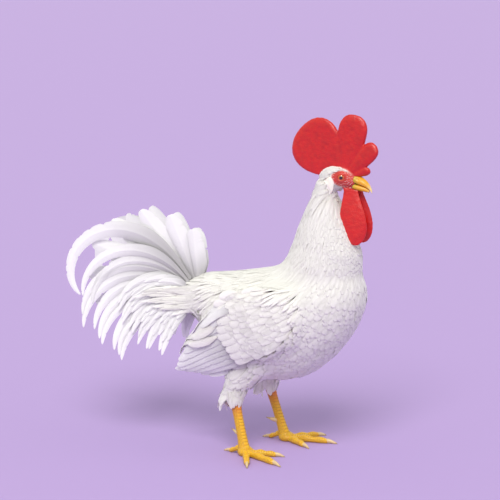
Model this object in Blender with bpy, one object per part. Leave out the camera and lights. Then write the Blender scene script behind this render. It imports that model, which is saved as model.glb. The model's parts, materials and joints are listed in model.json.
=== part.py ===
"""A standing white rooster at life size, in separate closed solids, one for each named part of the bird.

Metres, +Z up. The bird faces -Y and its left side is +X. Sizes below are in millimetres, measured as
forward (from a point between the feet), side (to the bird's left) and up (from the floor). The whole
bird is moved at the end so that the origin is the bottom centre of its bounding box.
"""

import math

import bmesh
import bpy
from mathutils import Vector

MM = 0.001
GAP = 0.3  # clearance between neighbouring pieces
CLEAR = 1.4 * GAP  # the same on the large pieces, whose flat faces lie inside the curve
SIDES = {"left": 1, "right": -1}
FLAT = math.radians(1.2)  # faces nearer than this to one plane are merged after a cut
SLIVER = 0.02

# Body profile: (forward, height of the back, height of the belly, half width)
TRUNK = [
    (-128, 250, 222, 12),
    (-120, 259, 208, 24),
    (-102, 267, 184, 38),
    (-74, 270, 154, 54),
    (-38, 274, 126, 68),
    (10, 283, 109, 77),
    (60, 296, 117, 77),
    (98, 303, 142, 69),
    (128, 298, 176, 54),
    (146, 282, 208, 35),
    (154, 262, 232, 16),
]
# Neck profile: (height, nape, throat, half width), the nape and throat being distances forward
NECK = [
    (262, 20, 148, 52),
    (290, 27, 151, 56),
    (312, 36, 148, 50),
    (338, 47, 138, 41),
    (362, 57, 127, 33.5),
    (383, 65, 118, 28),
    (401, 72, 111, 23.5),
    (415, 80, 108, 17),
    (423, 92, 106, 8),
]
# Head profile, in the head's own frame: (ahead of the eyes, crown above them, throat above them, half width)
HEAD = [
    (-35, 3, -9, 7),
    (-31, 9, -16, 12),
    (-20, 15, -20.5, 15.5),
    (-7, 17.5, -20.5, 16.5),
    (4, 17, -18.5, 15.5),
    (13, 13.5, -15.5, 12.6),
    (20, 9.5, -12.5, 9.6),
]
HEAD_CENTRE = (120, 0, 422)
HEAD_YAW = math.radians(11)  # turned to the bird's right
HEAD_PITCH = math.radians(9)  # bill below level
EYE_RADIUS = 7.6
EYE_PLACE = (1.0, 10.2, 3.0)  # ahead, side, up in the head's frame

TAIL_ROOT = (-108, 236)  # forward, up: the point that every tail feather points away from
WING_SHOULDER, WING_TIP = (72, 240), (-138, 122)  # forward, up
FOOT = {"left": (16, 48), "right": (-16, 50)}  # forward, side of the sole's centre
FOOT_YAW = {"left": 4, "right": 30}  # degrees that the middle toe turns outwards
HOCK = {"left": (-14, 42, 98), "right": (-38, 44, 96)}  # forward, side, up
PALM_RADIUS, PALM_HEIGHT = 12.5, 8.2

MATERIALS = {
    "plumage": ((0.93, 0.93, 0.92), 0.75),
    "face": ((0.62, 0.03, 0.03), 0.5),
    "comb": ((0.72, 0.02, 0.02), 0.45),
    "lobe": ((0.90, 0.88, 0.82), 0.55),
    "bill": ((0.90, 0.66, 0.15), 0.35),
    "eye": ((0.45, 0.12, 0.02), 0.1),
    "leg": ((0.88, 0.60, 0.08), 0.5),
    "claw": ((0.80, 0.66, 0.42), 0.4),
}


# Making meshes.


def clear_scene():
    for obj in list(bpy.data.objects):
        bpy.data.objects.remove(obj, do_unlink=True)


def material(slot):
    found = bpy.data.materials.get(slot)
    if found:
        return found
    colour, roughness = MATERIALS[slot]
    made = bpy.data.materials.new(slot)
    made.use_nodes = True
    shader = made.node_tree.nodes["Principled BSDF"]
    shader.inputs["Base Color"].default_value = (*colour, 1)
    shader.inputs["Roughness"].default_value = roughness
    shader.inputs["Metallic"].default_value = 0.0
    return made


def at(forward, side, up):
    return Vector((side, -forward, up)) * MM


def head_at(ahead, side, up):
    """A place in the head's frame, nodded by HEAD_PITCH and turned by HEAD_YAW."""
    level = ahead * math.cos(HEAD_PITCH) + up * math.sin(HEAD_PITCH)
    height = up * math.cos(HEAD_PITCH) - ahead * math.sin(HEAD_PITCH)
    forward = level * math.cos(HEAD_YAW) + side * math.sin(HEAD_YAW)
    across = side * math.cos(HEAD_YAW) - level * math.sin(HEAD_YAW)
    return at(HEAD_CENTRE[0] + forward, HEAD_CENTRE[1] + across, HEAD_CENTRE[2] + height)


def make(name, points, faces, slot):
    """One object from points in metres. Its faces are turned to point out."""
    mesh = bpy.data.meshes.new(name)
    mesh.from_pydata(points, [], faces)
    bm = bmesh.new()
    bm.from_mesh(mesh)
    bmesh.ops.recalc_face_normals(bm, faces=bm.faces)
    bm.to_mesh(mesh)
    bm.free()
    mesh.shade_smooth()
    mesh.materials.append(material(slot))
    obj = bpy.data.objects.new(name, mesh)
    bpy.context.scene.collection.objects.link(obj)
    return obj


def loft(name, rings, slot):
    """A closed solid through rings that have the same number of points."""
    count = len(rings[0])
    points = [p for ring in rings for p in ring]
    faces = [tuple(range(count)), tuple(len(points) - count + i for i in range(count))]
    for r in range(len(rings) - 1):
        for i in range(count):
            j = (i + 1) % count
            faces.append((r * count + i, r * count + j, (r + 1) * count + j, (r + 1) * count + i))
    return make(name, points, faces, slot)


def plate(name, across, along, place, slot):
    """A closed curved plate. place(u, v, face) gives the point for u and v from 0 to 1 on face -1 or 1."""
    points = [
        place(i / across, j / along, face)
        for face in (-1, 1)
        for i in range(across + 1)
        for j in range(along + 1)
    ]
    row = along + 1
    back = (across + 1) * row
    faces = []
    for i in range(across):
        for j in range(along):
            a = i * row + j
            quad = (a, a + 1, a + row + 1, a + row)
            faces.append(quad)
            faces.append(tuple(back + k for k in reversed(quad)))
    rim = [i * row for i in range(across + 1)]
    rim += [across * row + j for j in range(1, along + 1)]
    rim += [i * row + along for i in reversed(range(across))]
    rim += list(reversed(range(1, along)))
    for a, b in zip(rim, rim[1:] + rim[:1]):
        faces.append((a, b, back + b, back + a))
    return make(name, points, faces, slot)


def between(stations, steps):
    """Catmull-Rom through a list of stations, with this many steps from each to the next."""
    padded = [stations[0], *stations, stations[-1]]
    found = []
    for k in range(1, len(padded) - 2):
        a, b, c, d = padded[k - 1 : k + 3]
        for s in range(steps):
            t = s / steps
            found.append(
                tuple(
                    q + 0.5 * t * (r - p + t * (2 * p - 5 * q + 4 * r - w + t * (3 * (q - r) + w - p)))
                    for p, q, r, w in zip(a, b, c, d)
                )
            )
    return found + [tuple(stations[-1])]


def oval(sides, across, above, below, start=0.0):
    """(across, up) round an oval whose upper and lower halves have heights of their own.

    start turns the corners by that share of one side. At 0.5 the oval stands on a side.
    """
    ring = []
    for i in range(sides):
        turn = 2 * math.pi * (i + start) / sides
        up = math.sin(turn)
        ring.append((across * math.cos(turn), up * (above if up > 0 else below)))
    return ring


def apply_modifiers(obj):
    graph = bpy.context.evaluated_depsgraph_get()
    made = bpy.data.meshes.new_from_object(obj.evaluated_get(graph))
    made.name = obj.name
    obj.modifiers.clear()
    obj.data = made


def triangulate(obj):
    """Merges the faces that lie in one plane and makes all of them triangles, so the next cut is exact."""
    bm = bmesh.new()
    bm.from_mesh(obj.data)
    bmesh.ops.dissolve_degenerate(bm, dist=SLIVER * MM, edges=bm.edges)
    bmesh.ops.dissolve_limit(bm, angle_limit=FLAT, verts=bm.verts, edges=bm.edges)
    bmesh.ops.triangulate(bm, faces=bm.faces)
    bm.to_mesh(obj.data)
    bm.free()


def grown(obj, by=GAP):
    """A hidden copy of obj, larger by this much all round, to cut its neighbours with."""
    copy = obj.copy()
    copy.data = obj.data.copy()
    copy.name = obj.name + "_cutter"
    for vertex, normal in zip(copy.data.vertices, [v.normal.copy() for v in obj.data.vertices]):
        vertex.co += normal * by * MM
    copy.hide_render = True
    copy.display_type = "WIRE"
    bpy.context.scene.collection.objects.link(copy)
    return copy


def combine(obj, others, operation):
    for other in others:
        boolean = obj.modifiers.new(operation.title(), "BOOLEAN")
        boolean.operation = operation
        boolean.object = other
        bpy.context.view_layer.update()
        apply_modifiers(obj)
        triangulate(obj)


def drop_crumbs(obj):
    """Keeps the body with the most corners and removes small ones that a cut has set free."""
    bm = bmesh.new()
    bm.from_mesh(obj.data)
    left, bodies = set(bm.verts), []
    while left:
        body, edge = set(), {left.pop()}
        while edge:
            body |= edge
            edge = {e.other_vert(v) for v in edge for e in v.link_edges} - body
        left -= body
        bodies.append(body)
    keep = max(bodies, key=len)
    bmesh.ops.delete(bm, geom=[v for v in bm.verts if v not in keep], context="VERTS")
    bm.to_mesh(obj.data)
    bm.free()


def carve(obj, *cutters):
    combine(obj, cutters, "DIFFERENCE")
    drop_crumbs(obj)


def fuse(obj, other):
    combine(obj, [other], "UNION")
    bpy.data.objects.remove(other, do_unlink=True)


def keep_side(obj, point, normal):
    """Cuts obj by a plane and keeps what lies on the normal's side, half a gap clear of the plane."""
    bm = bmesh.new()
    bm.from_mesh(obj.data)
    cut = bmesh.ops.bisect_plane(
        bm,
        geom=bm.verts[:] + bm.edges[:] + bm.faces[:],
        plane_co=point + normal * GAP / 2 * MM,
        plane_no=normal,
        clear_inner=True,
    )
    edges = [e for e in cut["geom_cut"] if isinstance(e, bmesh.types.BMEdge)]
    bmesh.ops.edgenet_fill(bm, edges=edges)
    bmesh.ops.recalc_face_normals(bm, faces=bm.faces)
    bm.to_mesh(obj.data)
    bm.free()


def part_by(obj, point, normal, name):
    """Thin cut: obj keeps the side that the normal points to, and the rest becomes a new object."""
    normal = normal.normalized()
    rest = obj.copy()
    rest.data = obj.data.copy()
    rest.name = rest.data.name = name
    bpy.context.scene.collection.objects.link(rest)
    keep_side(obj, point, normal)
    keep_side(rest, point, -normal)
    return rest


# Trunk, neck and head.


def make_trunk():
    rings = []
    for forward, back, belly, half in between(TRUNK, 2):
        waist = belly + 0.55 * (back - belly)
        ring = oval(20, half, back - waist, waist - belly)
        rings.append([at(forward, side, waist + up) for side, up in ring])
    return loft("trunk", rings, "plumage")


def make_neck():
    rings = []
    for height, nape, throat, half in NECK:
        middle, reach = (nape + throat) / 2, (throat - nape) / 2
        ring = oval(18, half, reach, reach)
        rings.append([at(middle + ahead, side, height) for side, ahead in ring])
    return loft("neck", rings, "plumage")


def make_head():
    rings = []
    for ahead, crown, throat, half in between(HEAD, 2):
        middle = (crown + throat) / 2
        ring = oval(14, half, crown - middle, middle - throat)
        rings.append([head_at(ahead, side, middle + up) for side, up in ring])
    return loft("head", rings, "face")


def make_eye(side_name):
    ahead, side, up = EYE_PLACE
    rings = []
    for k in range(1, 7):
        turn = math.pi * k / 7
        radius = EYE_RADIUS * math.sin(turn)
        across = SIDES[side_name] * (side + EYE_RADIUS * math.cos(turn))
        ring = oval(10, radius, radius, radius)
        rings.append([head_at(ahead + a, across, up + b) for a, b in ring])
    return loft("eye_" + side_name, rings, "eye")


def make_bill(name, stations):
    """stations: (ahead, top, bottom, half width) in the head's frame."""
    rings = []
    for ahead, top, bottom, half in stations:
        middle = (top + bottom) / 2
        ring = oval(10, half, top - middle, middle - bottom)
        rings.append([head_at(ahead, side, middle + up) for side, up in ring])
    return loft(name, rings, "bill")


# Comb, wattles and ear lobes.

# Lobes of the comb from the bill to the blade at the back: direction about the eyes, reach, half width
COMB_LOBES = [(29, 46, 13), (54, 74, 18), (88, 97, 23), (143, 103, 42)]
COMB_SWEEP = (19, 190)  # degrees about the eyes, from straight ahead
COMB_ROOT = 13  # radius of the comb's foot, inside the head
COMB_THICK = (13.0, 7.0)  # at the foot and at the edge


def comb_reach(angle):
    """Radius of the comb's edge in a direction in degrees: the lobes are rounded petals, side by side."""
    reach = COMB_ROOT + 12
    for middle, length, half in COMB_LOBES:
        off = abs(angle - middle) / half
        if off < 1:
            reach = max(reach, COMB_ROOT + (length - COMB_ROOT) * (1 - off**2.6) ** 0.42)
    return reach


def make_comb():
    low, high = COMB_SWEEP

    def place(u, v, face):
        degrees = low + (high - low) * u
        angle = math.radians(degrees)
        radius = COMB_ROOT + (comb_reach(degrees) - COMB_ROOT) * v
        thick = COMB_THICK[0] + (COMB_THICK[1] - COMB_THICK[0]) * v
        thick *= 0.55 if v == 1 or u in (0, 1) else 1
        return head_at(radius * math.cos(angle), face * thick / 2, radius * math.sin(angle) - 1)

    return plate("comb", 38, 3, place, "comb")


def make_hanging(name, top, length, width, thick, slot, lean=0.0, swing=0.0):
    """A teardrop plate that hangs from top, a place in metres; its foot is lean outwards and swing forwards."""
    rings = []
    steps = 6
    for k in range(steps + 1):
        share = k / steps
        swell = math.sin(math.pi * (0.10 + 0.88 * share**1.4)) ** 0.6
        half = width / 2 * swell
        depth = thick / 2 * swell
        centre = top + at(swing * length * share, lean * length * share, -length * share)
        turned = [
            Vector((side, -ahead, 0)) * MM
            for ahead, side in oval(8, half, depth, depth)
        ]
        rings.append([centre + offset for offset in turned])
    return loft(name, rings, slot)


def make_earlobe(side_name):
    sign = SIDES[side_name]
    length, width, thick = 25.0, 15.0, 5.0
    rings = []
    for k in range(1, 7):
        turn = math.pi * k / 7
        across = width / 2 * math.sin(turn) * (1.1 - 0.2 * k / 7)
        up = length / 2 * math.cos(turn)
        depth = thick / 2 * math.sin(turn) ** 0.6
        ring = oval(8, across, depth, depth)
        # it hangs below and behind the ear
        rings.append([head_at(-14 + a - 0.18 * up, sign * (16.0 + b), -12.5 + up) for a, b in ring])
    return loft("earlobe_" + side_name, rings, "lobe")


# Wings.

# along the wing, chord above the axis, chord below it, distance from the midline, half thickness
WING = [
    (0, 8, 9, 71, 5),
    (10, 30, 29, 73, 9),
    (34, 49, 47, 75, 13),
    (72, 57, 53, 75, 15),
    (112, 54, 48, 71, 13),
    (152, 43, 38, 64, 9.5),
    (190, 29, 27, 54, 7),
    (220, 15, 16, 45, 5),
    (240, 4, 5, 39, 3),
]
WING_BOW, WING_BAY = 92, 178  # where the bow ends, and where the secondaries end


def wing_frame():
    along = Vector((WING_TIP[0] - WING_SHOULDER[0], WING_TIP[1] - WING_SHOULDER[1])).normalized()
    return along, Vector((along.y, -along.x))


def make_wing(side_name):
    sign = SIDES[side_name]
    along, up = wing_frame()
    shoulder = Vector(WING_SHOULDER)
    rings = []
    for distance, above, below, middle, half in between(WING, 1):
        ring = []
        for across, chord in oval(14, half, above, below):
            place = shoulder + along * distance + up * chord
            ring.append(at(place.x, sign * (middle + across), place.y))
        rings.append(ring)
    return loft(f"wing_{side_name}_bow", rings, "plumage")


def part_wing(wing, side_name):
    """Bow at the shoulder, then secondaries above and primaries below and behind."""
    along, up = wing_frame()
    shoulder = Vector(WING_SHOULDER)
    bow_end = shoulder + along * WING_BOW
    bay_end = shoulder + along * WING_BAY
    forward = Vector((0, -along.x, along.y))
    upward = Vector((0, -up.x, up.y))
    rest = part_by(wing, at(bow_end.x, 0, bow_end.y), -forward, f"wing_{side_name}_secondaries")
    slope = (upward * 1.0 - forward * 0.42).normalized()
    part_by(rest, at(bay_end.x, 0, bay_end.y), slope, f"wing_{side_name}_primaries")


# Tail.

# Each layer lies outside the one before: distance from the midline at the root
TAIL_LAYER = {"fan": 2.5, "sickle": 8.5, "lesser": 13.5, "coverts": 19.0}
PLUME_START = 0.12  # share of a feather's length that is left out where all of them meet
TAIL_SWELL = {"fan": 0.35}  # how much longer the middle feathers of a layer are than its outer ones


def plume_track(heading, length, curl, late, steps=30):
    """(forward, up) along a feather that leaves the root at this heading above straight back.

    The heading falls by curl degrees over the length, most of it near the tip where late is above 1.
    """
    forward, up = TAIL_ROOT
    step = length / steps
    track = [(forward, up)]
    for k in range(steps):
        angle = math.radians(heading - curl * ((k + 0.5) / steps) ** late)
        forward -= step * math.cos(angle)
        up += step * math.sin(angle)
        track.append((forward, up))
    return track


def on_track(track, share):
    spot = min(max(share, 0), 1) * (len(track) - 1)
    k = min(int(spot), len(track) - 2)
    (a, b), (c, d) = track[k], track[k + 1]
    return a + (c - a) * (spot - k), b + (d - b) * (spot - k)


def tail_side(forward, up, layer):
    """How far a point of the tail lies from the midline: the lower feathers spread more."""
    back, rise = TAIL_ROOT[0] - forward, up - TAIL_ROOT[1]
    slope = math.degrees(math.atan2(rise, back)) if back or rise else 0
    spread = 2.5 + 15.5 * min(1, max(0, (80 - slope) / 110))
    return TAIL_LAYER[layer] + math.hypot(back, rise) * math.tan(math.radians(spread))


def make_fan(name, side_name, layer, headings, lengths, curls, late, tips, notch, thick, rows):
    """A plate of feathers side by side, with a tip for each. Pairs give the first and the last one's value."""
    sign = SIDES[side_name]
    whole = 1 - 1.12 * notch  # share of the length up to which the plate is undivided

    def place(u, v, face):
        heading, length, curl = (
            first + (last - first) * u for first, last in (headings, lengths, curls)
        )
        length *= 1 + TAIL_SWELL.get(layer, 0) * math.sin(math.pi * u)
        tip = abs(math.sin(math.pi * tips * u)) ** 0.8
        share = PLUME_START + (whole - PLUME_START) * v * rows / (rows - 1)
        if v == 1:
            share = 1 - notch * (1 - tip)
        forward, up = on_track(plume_track(heading, length, curl, late), share)
        deep = thick * (1 - 0.55 * v) * (0.6 if u in (0, 1) else 1)
        return at(forward, sign * (tail_side(forward, up, layer) + face * deep / 2), up)

    return plate(name, tips * 3, rows, place, "plumage")


def make_sickle(side_name):
    """The long main sickle feather, a curved blade."""
    sign = SIDES[side_name]
    track = plume_track(57, 312, 196, 1.9, steps=60)
    steps, thick, width = 16, 2.6, 30

    def place(u, v, face):
        share = 0.07 + 0.93 * v
        forward, up = on_track(track, share)
        ahead = on_track(track, min(1, share + 0.02))
        behind = on_track(track, max(0, share - 0.02))
        run = Vector((ahead[0] - behind[0], ahead[1] - behind[1])).normalized()
        half = width / 2 * math.sin(math.pi * (0.18 + 0.78 * v)) ** 0.55 * (0.12 if v == 1 else 1)
        offset = Vector((-run.y, run.x)) * (2 * u - 1) * half
        forward, up = forward + offset.x, up + offset.y
        deep = thick * (1 - 0.5 * v) * (0.6 if u in (0, 1) else 1)
        return at(forward, sign * (tail_side(forward, up, "sickle") + face * deep / 2), up)

    return plate(f"tail_sickle_{side_name}", 2, steps, place, "plumage")


def make_tail(side_name):
    return [
        make_fan(
            f"tail_fan_{side_name}", side_name, "fan",
            headings=(84, 0), lengths=(98, 158), curls=(-2, 16), late=1.2,
            tips=7, notch=0.13, thick=3.0, rows=4,
        ),
        make_sickle(side_name),
        make_fan(
            f"tail_sickles_lesser_{side_name}", side_name, "lesser",
            headings=(50, -16), lengths=(252, 168), curls=(150, 80), late=1.6,
            tips=5, notch=0.2, thick=3.2, rows=6,
        ),
        make_fan(
            f"tail_coverts_{side_name}", side_name, "coverts",
            headings=(44, -54), lengths=(150, 104), curls=(120, 30), late=1.3,
            tips=5, notch=0.2, thick=4.0, rows=4,
        ),
    ]


# Legs.

# name: (degrees out from the middle toe, length, thickness, claw length)
TOES = {
    "toe_middle": (0, 66, 12.0, 15),
    "toe_inner": (-40, 47, 11.2, 13),
    "toe_outer": (38, 55, 11.0, 13),
    "toe_back": (168, 30, 9.6, 12),
}


def foot_at(side_name, outward, along, up, across=0.0):
    """A place on the foot: along a toe that points outward degrees from the bird's heading."""
    forward, side = FOOT[side_name]
    turn = math.radians(outward)
    ahead = along * math.cos(turn) - across * math.sin(turn)
    out = along * math.sin(turn) + across * math.cos(turn)
    return at(forward + ahead, SIDES[side_name] * (side + out), max(up, 0))


def toe_shape(length, thick, share):
    """(radius, height of the centre) with the pads' swellings under the joints."""
    pads = 1 + 0.08 * math.cos(2 * math.pi * 2.5 * share)
    radius = thick / 2 * (1.0 - 0.28 * share) * pads
    return radius, radius * 0.74 + 0.6 * math.sin(math.pi * share)


def make_toe(side_name, name):
    out, length, thick, claw = TOES[name]
    heading = FOOT_YAW[side_name] + out
    slope = 9 if name == "toe_back" else 0  # the back toe joins higher up
    rings, steps = [], 7
    start = 7.0
    for k in range(steps + 1):
        share = k / steps
        along = start + (length - start) * share
        radius, height = toe_shape(length, thick, share)
        height += slope * (1 - share) ** 1.5
        radius *= 0.82 + 0.18 * min(1, 4 * share)
        ring = oval(8, radius, radius, radius * 0.92, 0.5)
        rings.append([foot_at(side_name, heading, along, height + up, a) for a, up in ring])
    toe = loft(f"{name}_{side_name}", rings, "leg")

    radius, height = toe_shape(length, thick, 1)
    rings, steps = [], 4
    for k in range(steps + 1):
        share = k / steps
        along = length + GAP + claw * math.sin(share * 1.25) / math.sin(1.25)
        size = radius * 0.80 * (1 - share) ** 0.8 + 0.45
        drop = height + 1.0 - 0.62 * claw * (1 - math.cos(share * 1.25))
        ring = oval(6, size * 0.85, size, size)
        rings.append([foot_at(side_name, heading, along, max(drop, size * 0.7) + up, a) for a, up in ring])
    loft(f"{name.replace('toe', 'claw')}_{side_name}", rings, "claw")
    return toe


def make_shank(side_name):
    """Hock, shank and the sole's pad, in one."""
    sign = SIDES[side_name]
    foot = FOOT[side_name]
    hock = HOCK[side_name]
    # share of the way up, radius fore and aft, radius across
    stations = [
        (0.05, 9.0, 9.5),
        (0.14, 8.6, 8.2),
        (0.28, 7.6, 6.6),
        (0.5, 7.2, 6.2),
        (0.75, 7.8, 6.8),
        (0.92, 10.4, 9.0),
        (1.02, 11.2, 9.8),
        (1.12, 9.0, 8.0),
        (1.20, 5.0, 5.0),
    ]
    rings = []
    for share, fore, across in between(stations, 1):
        forward = foot[0] + (hock[0] - foot[0]) * share
        side = foot[1] + (hock[1] - foot[1]) * share
        ring = oval(10, across, fore, fore)
        rings.append([at(forward + a, sign * (side + b), hock[2] * share) for b, a in ring])
    shank = loft(f"shank_{side_name}", rings, "leg")

    rings = []
    for k in range(1, 6):
        turn = math.pi * k / 6
        radius = PALM_RADIUS * math.sin(turn)
        height = PALM_HEIGHT * 0.72 - PALM_HEIGHT * math.cos(turn)
        rings.append([foot_at(side_name, 0, a, height, b) for a, b in oval(10, radius, radius, radius)])
    fuse(shank, loft("palm_" + side_name, rings, "leg"))
    return shank


def make_spur(side_name):
    """The spur on the inner back of the shank."""
    sign = SIDES[side_name]
    foot, hock = FOOT[side_name], HOCK[side_name]
    share, length = 0.36, 22.0
    base = [foot[i] + (hock[i] - foot[i]) * share for i in (0, 1)]
    rings = []
    for k in range(5):
        reach = k / 4
        size = 4.6 * (1 - reach) ** 0.85 + 0.45
        forward = base[0] - length * reach * 0.86
        side = base[1] - length * reach * 0.42
        height = hock[2] * share - 3 + 5.0 * reach**2
        ring = oval(6, size * 0.9, size, size)
        rings.append([at(forward - 0.4 * a, sign * (side + a), height + b) for a, b in ring])
    return loft("spur_" + side_name, rings, "claw")


def make_thigh(side_name):
    """The feathered upper leg, from inside the trunk to the hock."""
    sign = SIDES[side_name]
    hock = HOCK[side_name]
    top = (hock[0] + 58, 44, 205)
    # share of the way down, radius fore and aft, radius across
    stations = [
        (0.0, 42, 26),
        (0.22, 46, 29),
        (0.45, 40, 27),
        (0.68, 28, 21),
        (0.86, 20, 17),
        (1.0, 15.5, 14.0),
        (1.10, 13.5, 12.4),
    ]
    rings = []
    for share, fore, across in stations:
        centre = [top[i] + (hock[i] - top[i]) * share for i in range(3)]
        ring = oval(11, across, fore, fore)
        # the sections lean with the leg
        rings.append([at(centre[0] + a, sign * (centre[1] + b), centre[2] - 0.45 * a) for b, a in ring])
    return loft("thigh_" + side_name, rings, "plumage")


# Putting it together.


def make_bills():
    upper = make_bill("bill_upper", [
        (20.6, 9.4, -4.4, 8.8),
        (26, 8.6, -4.8, 8.0),
        (32, 6.8, -5.4, 6.8),
        (38, 3.6, -6.2, 5.2),
        (43.5, -1.2, -7.8, 3.4),
        (47.5, -6.6, -10.6, 1.7),
        (48.8, -10.2, -12.6, 0.7),
    ])
    lower = make_bill("bill_lower", [
        (20.6, -5.6, -12.6, 7.4),
        (27, -6.0, -12.6, 6.6),
        (34, -6.8, -12.4, 5.0),
        (40, -8.2, -12.0, 2.9),
        (43, -9.8, -11.6, 1.0),
    ])
    carve(lower, grown(upper))
    return upper, lower


def build_head(head, neck, head_cutter, neck_cutter):
    """Eyes, bill, comb, wattles and ear lobes, each clear of the head and neck."""
    upper, lower = make_bills()
    carve(make_comb(), head_cutter, neck_cutter, grown(upper, CLEAR))
    bill_cutter = grown(lower, CLEAR)
    for side_name, sign in SIDES.items():
        carve(head, grown(make_eye(side_name)))
        root = head_at(16, sign * 7, -12)
        wattle = make_hanging("wattle_" + side_name, root, 82, 41, 8.0, "comb", lean=sign * 0.10, swing=0.12)
        carve(wattle, head_cutter, bill_cutter, neck_cutter)
        lobe = make_earlobe(side_name)
        carve(lobe, head_cutter)
        carve(neck, grown(lobe, CLEAR))


def build_wings(trunk_cutter, neck_cutter):
    cutters = {}
    for side_name in SIDES:
        wing = make_wing(side_name)
        cutters[side_name] = grown(wing, CLEAR)
        carve(wing, trunk_cutter, neck_cutter)
        part_wing(wing, side_name)
    return cutters


def build_legs(trunk_cutter, wing_cutters):
    for side_name in SIDES:
        shank = make_shank(side_name)
        shank_cutter = grown(shank)
        carve(make_thigh(side_name), trunk_cutter, wing_cutters[side_name], shank_cutter)
        carve(make_spur(side_name), shank_cutter)
        middle_cutter = None
        for name in TOES:
            toe = make_toe(side_name, name)
            if middle_cutter:
                carve(toe, shank_cutter, middle_cutter)
            else:
                middle_cutter = grown(toe)
                carve(toe, shank_cutter)


def build_bird():
    trunk, neck, head = make_trunk(), make_neck(), make_head()
    trunk_cutter, neck_cutter, head_cutter = (grown(piece, CLEAR) for piece in (trunk, neck, head))
    carve(neck, trunk_cutter, head_cutter)
    build_head(head, neck, head_cutter, neck_cutter)
    wing_cutters = build_wings(trunk_cutter, neck_cutter)
    build_legs(trunk_cutter, wing_cutters)
    for side_name in SIDES:
        for piece in make_tail(side_name):
            carve(piece, trunk_cutter)

    neck.name = "neck_lower"
    part_by(neck, at(0, 0, 352), Vector((0, 0.35, -1)), "neck_upper")
    trunk.name = "belly"
    part_by(trunk, at(-48, 0, 0), Vector((0, -1, 0)), "saddle")
    part_by(trunk, at(84, 0, 0), Vector((0, 1, 0)), "breast")
    part_by(trunk, at(0, 0, 214), Vector((0, 0, -1)), "back")


def stand_on_origin():
    """Moves every piece so that the bottom centre of the box round the bird is the origin."""
    shown = [o for o in bpy.context.scene.objects if not o.hide_render]
    corners = [v.co for o in shown for v in o.data.vertices]
    low = Vector(min(c[i] for c in corners) for i in range(3))
    high = Vector(max(c[i] for c in corners) for i in range(3))
    shift = Vector((-(low.x + high.x) / 2, -(low.y + high.y) / 2, -low.z))
    for obj in shown:
        for vertex in obj.data.vertices:
            vertex.co += shift


def remove_cutters():
    for obj in [o for o in bpy.context.scene.objects if o.hide_render]:
        bpy.data.objects.remove(obj, do_unlink=True)


clear_scene()
build_bird()
remove_cutters()
stand_on_origin()
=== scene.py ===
import itertools
import json
import math

import bpy
import numpy as np
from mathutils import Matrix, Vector, kdtree, noise
from mathutils.bvhtree import BVHTree

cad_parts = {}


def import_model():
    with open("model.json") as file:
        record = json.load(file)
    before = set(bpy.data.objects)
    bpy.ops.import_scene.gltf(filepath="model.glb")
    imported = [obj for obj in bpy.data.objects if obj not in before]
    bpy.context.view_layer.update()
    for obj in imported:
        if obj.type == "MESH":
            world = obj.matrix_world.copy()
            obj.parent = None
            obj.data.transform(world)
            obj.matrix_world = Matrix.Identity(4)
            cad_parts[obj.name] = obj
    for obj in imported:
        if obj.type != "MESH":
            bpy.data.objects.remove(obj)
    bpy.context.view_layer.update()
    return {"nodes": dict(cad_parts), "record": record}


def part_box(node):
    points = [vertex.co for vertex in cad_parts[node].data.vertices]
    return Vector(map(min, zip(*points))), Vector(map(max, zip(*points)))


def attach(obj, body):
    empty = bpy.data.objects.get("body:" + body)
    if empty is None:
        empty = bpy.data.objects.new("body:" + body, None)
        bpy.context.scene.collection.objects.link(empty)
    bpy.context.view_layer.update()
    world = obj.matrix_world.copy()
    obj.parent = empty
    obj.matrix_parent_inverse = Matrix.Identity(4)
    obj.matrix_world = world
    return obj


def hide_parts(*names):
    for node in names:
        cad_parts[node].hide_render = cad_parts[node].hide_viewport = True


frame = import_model()
print("frame loaded")

mm = 0.001
sides = {"left": 1, "right": -1}

# the bird faces -Y and its left side is +X, so places are given ahead, to its left and up, in mm
layout = {
    "breastAhead": 154,  # the breast's foremost point, from a point between the feet
    "headPitch": 9,  # degrees that the bill points below level
    "eyeAhead": 1.0,  # the eyes' centres in the head's frame
    "eyeUp": 3.0,
}
midX = sum(corner.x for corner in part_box("back")) / 2
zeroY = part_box("breast")[0].y + layout["breastAhead"] * mm


def world(ahead, left, up):
    # works on numbers and on arrays
    return np.stack(np.broadcast_arrays(midX + left * mm, zeroY - ahead * mm, up * mm), -1)


def toBird(points):
    # mm left, ahead and up
    return (points - world(0, 0, 0)) / mm * [1, -1, 1]


def unit(v):
    v = np.asarray(v, float)
    return v / np.maximum(np.linalg.norm(v, axis=-1, keepdims=True), 1e-12)


def smooth(low, high, value):
    t = np.clip((value - low) / (high - low), 0, 1)
    return t * t * (3 - 2 * t)


eyeCentre = {side: np.mean([np.array(c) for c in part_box("eye_" + side)], 0) for side in sides}
headLeft = unit(eyeCentre["left"] - eyeCentre["right"])
pitch = math.radians(layout["headPitch"])
level = np.cross(headLeft, [0, 0, 1])
headAhead = level * math.cos(pitch) - np.array([0, 0, math.sin(pitch)])
headUp = np.cross(headAhead, headLeft)
headZero = (
    (eyeCentre["left"] + eyeCentre["right"]) / 2
    - headAhead * layout["eyeAhead"] * mm
    - headUp * layout["eyeUp"] * mm
)
headAxes = np.array([headAhead, headLeft, headUp])


def headPoint(ahead, left, up):
    parts = np.stack(np.broadcast_arrays(ahead, left, up), -1) * mm
    return headZero + parts @ headAxes


def toHead(points):
    # mm ahead, left and up in the head's frame
    return (points - headZero) @ headAxes.T / mm


def between(stations, steps):
    # Catmull-Rom through rows of numbers
    rows = np.array([stations[0], *stations, stations[-1]], float)
    found = []
    for k in range(1, len(rows) - 2):
        p, q, r, w = rows[k - 1 : k + 3]
        for t in np.arange(steps) / steps:
            found.append(q + 0.5 * t * (r - p + t * (2 * p - 5 * q + 4 * r - w + t * (3 * (q - r) + w - p))))
    return np.array(found + [rows[-1]])


# plain mesh making: grids, closed tubes and boards as point and face arrays


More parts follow.
